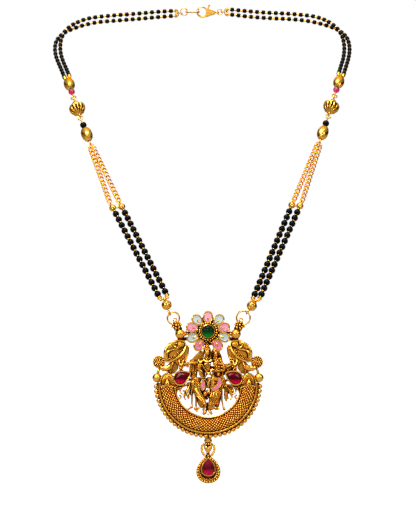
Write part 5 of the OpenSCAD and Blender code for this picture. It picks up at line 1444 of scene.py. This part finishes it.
pear_wires.mirrored().solder("pear_wires", polished_gold)
pear_mounts.mirrored().solder("pear_bezels", patina_and_shade_gold)
cut, cut_faces = cut_pear(7.9, 5.5, pear_spot, pear_way, 0.55, 1.75)
for side, way in (("left", -1), ("right", 1)):
    pear = Relief().add((cut * (way, 1, 1), [face[::way] for face in cut_faces]))
    node = "pear_stone_" + side
    pear.piece("pear_cut_" + side, garnet, "pendant", "red_stone", node, flat=True)

# Drop: hangs by an eye behind the middle granules. A collar and a plain heart-shaped ball
# between loops of beaded wire carry a red pear stone in a scalloped bezel with a beaded rim.
hang = -1.2
drop, beads = Relief(), Relief()
eye_v = -27.2 - 0.95 + 2 * 0.35 + 0.12
drop.seat(ring_form(0.95, 0.34, 24, 8), (0, eye_v, hang), (1, 0, 0), side=(0, 0, 1))
collar = turned([(0, -1.5), (1.3, -1.5), (1.6, -1.3), (1.6, -1.05), (1.4, -0.9), (1.9, -0.6),
                 (2.05, 0), (1.9, 0.6), (1.4, 0.9), (1.6, 1.05), (1.3, 1.25), (0, 1.3)], 32)
beads.seat(collar, (0.05, -28.4, hang + 0.1), (0, -1, 0), side=(0, 0, 1))
for i in range(9):
    turn = math.tau * i / 9
    beads.granule((1.65 * math.cos(turn), -29.95, hang + 0.1 + 1.4 * math.sin(turn)), 0.56, 8, 12)
drop.wire([(0, -29, hang), (0, -31.2, hang)], 1.1)
heart_edge = round_loop([(0, -34.95), (1.25, -33.7), (2, -32.2), (1.75, -31), (0.85, -30.8),
                         (0, -31.5), (-0.85, -30.8), (-1.75, -31), (-2, -32.2), (-1.25, -33.7)], 6)
beads.press(heart_edge, [(0.8, hang - 0.9), (1, hang - 0.2), (1, hang + 0.5), (0.92, hang + 1.05),
                         (0.74, hang + 1.5), (0.48, hang + 1.75), (0.15, hang + 1.85)], (0, -32.5))
for way in (-1, 1):
    loop = smooth_path([(way * 1.9, -30.2, hang), (way * 2.9, -31, hang),
                        (way * 3.15, -32.4, hang), (way * 2.9, -34, hang),
                        (way * 2.1, -35.3, hang), (way * 0.8, -36.3, hang)], 8)
    drop.wire(loop, 0.6)
    for at in loop[1::5]:
        beads.granule((at[0], at[1], hang + 0.35), 0.68, 8, 12)
drop.wire([(0, -34, hang), (0, -37.2, hang)], 0.85)
beads.granule((0.1, -35.7, hang + 0.7), 0.62, 8, 12)
drop_spot, stone_spot = np.array((0.2, -42.95)), np.array((0.15, -41.5))
drop.press(pear_edge(13.3, 11.7, 56, drop_spot, slim=0.4),
           [(0.94, hang - 1.2), (1, hang - 0.9), (1, hang + 0.35), (0.96, hang + 0.7),
            (0.9, hang + 0.65), (0.78, hang + 0.6), (0.76, hang - 0.6), (0.5, hang - 0.7)],
            drop_spot)
beads.wire(lift(pear_edge(10.6, 9.0, 56, drop_spot + (0, 0.1), slim=0.4), hang + 0.75),
           0.26, closed=True)


def beaded(outline, w, gap, size):
    """Granules at even spacing round an outline."""
    loop = np.vstack([outline, outline[:1]])
    run = np.concatenate([[0], np.cumsum(np.linalg.norm(np.diff(loop, axis=0), axis=1))])
    count = round(run[-1] / gap)
    for mark in np.arange(count) / count * run[-1]:
        beads.granule((np.interp(mark, run, loop[:, 0]), np.interp(mark, run, loop[:, 1]), w),
                      size, 7, 10)


beaded(pear_edge(12.3, 10.7, 160, drop_spot, slim=0.4), hang + 0.95, 1.34, 0.6)
beads.wire(lift(pear_edge(13.2, 11.6, 64, drop_spot, slim=0.4), hang + 0.3), 0.3, closed=True)
beaded(pear_edge(9.9, 8.3, 160, drop_spot + (0, -0.1), slim=0.4)[46:114], hang + 0.3, 1.0, 0.46)
drop.press(pear_edge(9.2, 7.2, 48, stone_spot),
           [(1, hang - 0.3), (1, hang + 1.1), (0.95, hang + 1.45), (0.9, hang + 1.4),
            (0.4, hang + 1.3)],
           stone_spot)
beads.wire(lift(pear_edge(8.9, 6.9, 60, stone_spot), hang + 1.4), 0.26, closed=True)
beads.piece("drop_beads", polished_gold, "drop", "old_gold", "drop_setting")
# Painted shade: the mount, its wires and the stone bed are dark, as the shade between the beads.
plain_back(drop.piece("drop_mount", dark_gold, "drop", "old_gold", "drop_setting"))
# Painted light: bright red at the foot of the drop stone, dark above, with a painted glow.
drop_glass = stone("drop_glass", (0.68, 0.0, 0.06), (0.05, 0.0, 0.004), (0.16, 0.003, 0.02), 0.15,
                   -0.2467, -0.2398, 0.25, rough=0.03)
drop_cut = Relief()
drop_cut.add(cut_pear(8.1, 6.2, stone_spot, 0.0, hang + 1.0, 1.9))
drop_cut.piece("drop_cut", drop_glass, "drop", "red_stone", "drop_stone", flat=True)
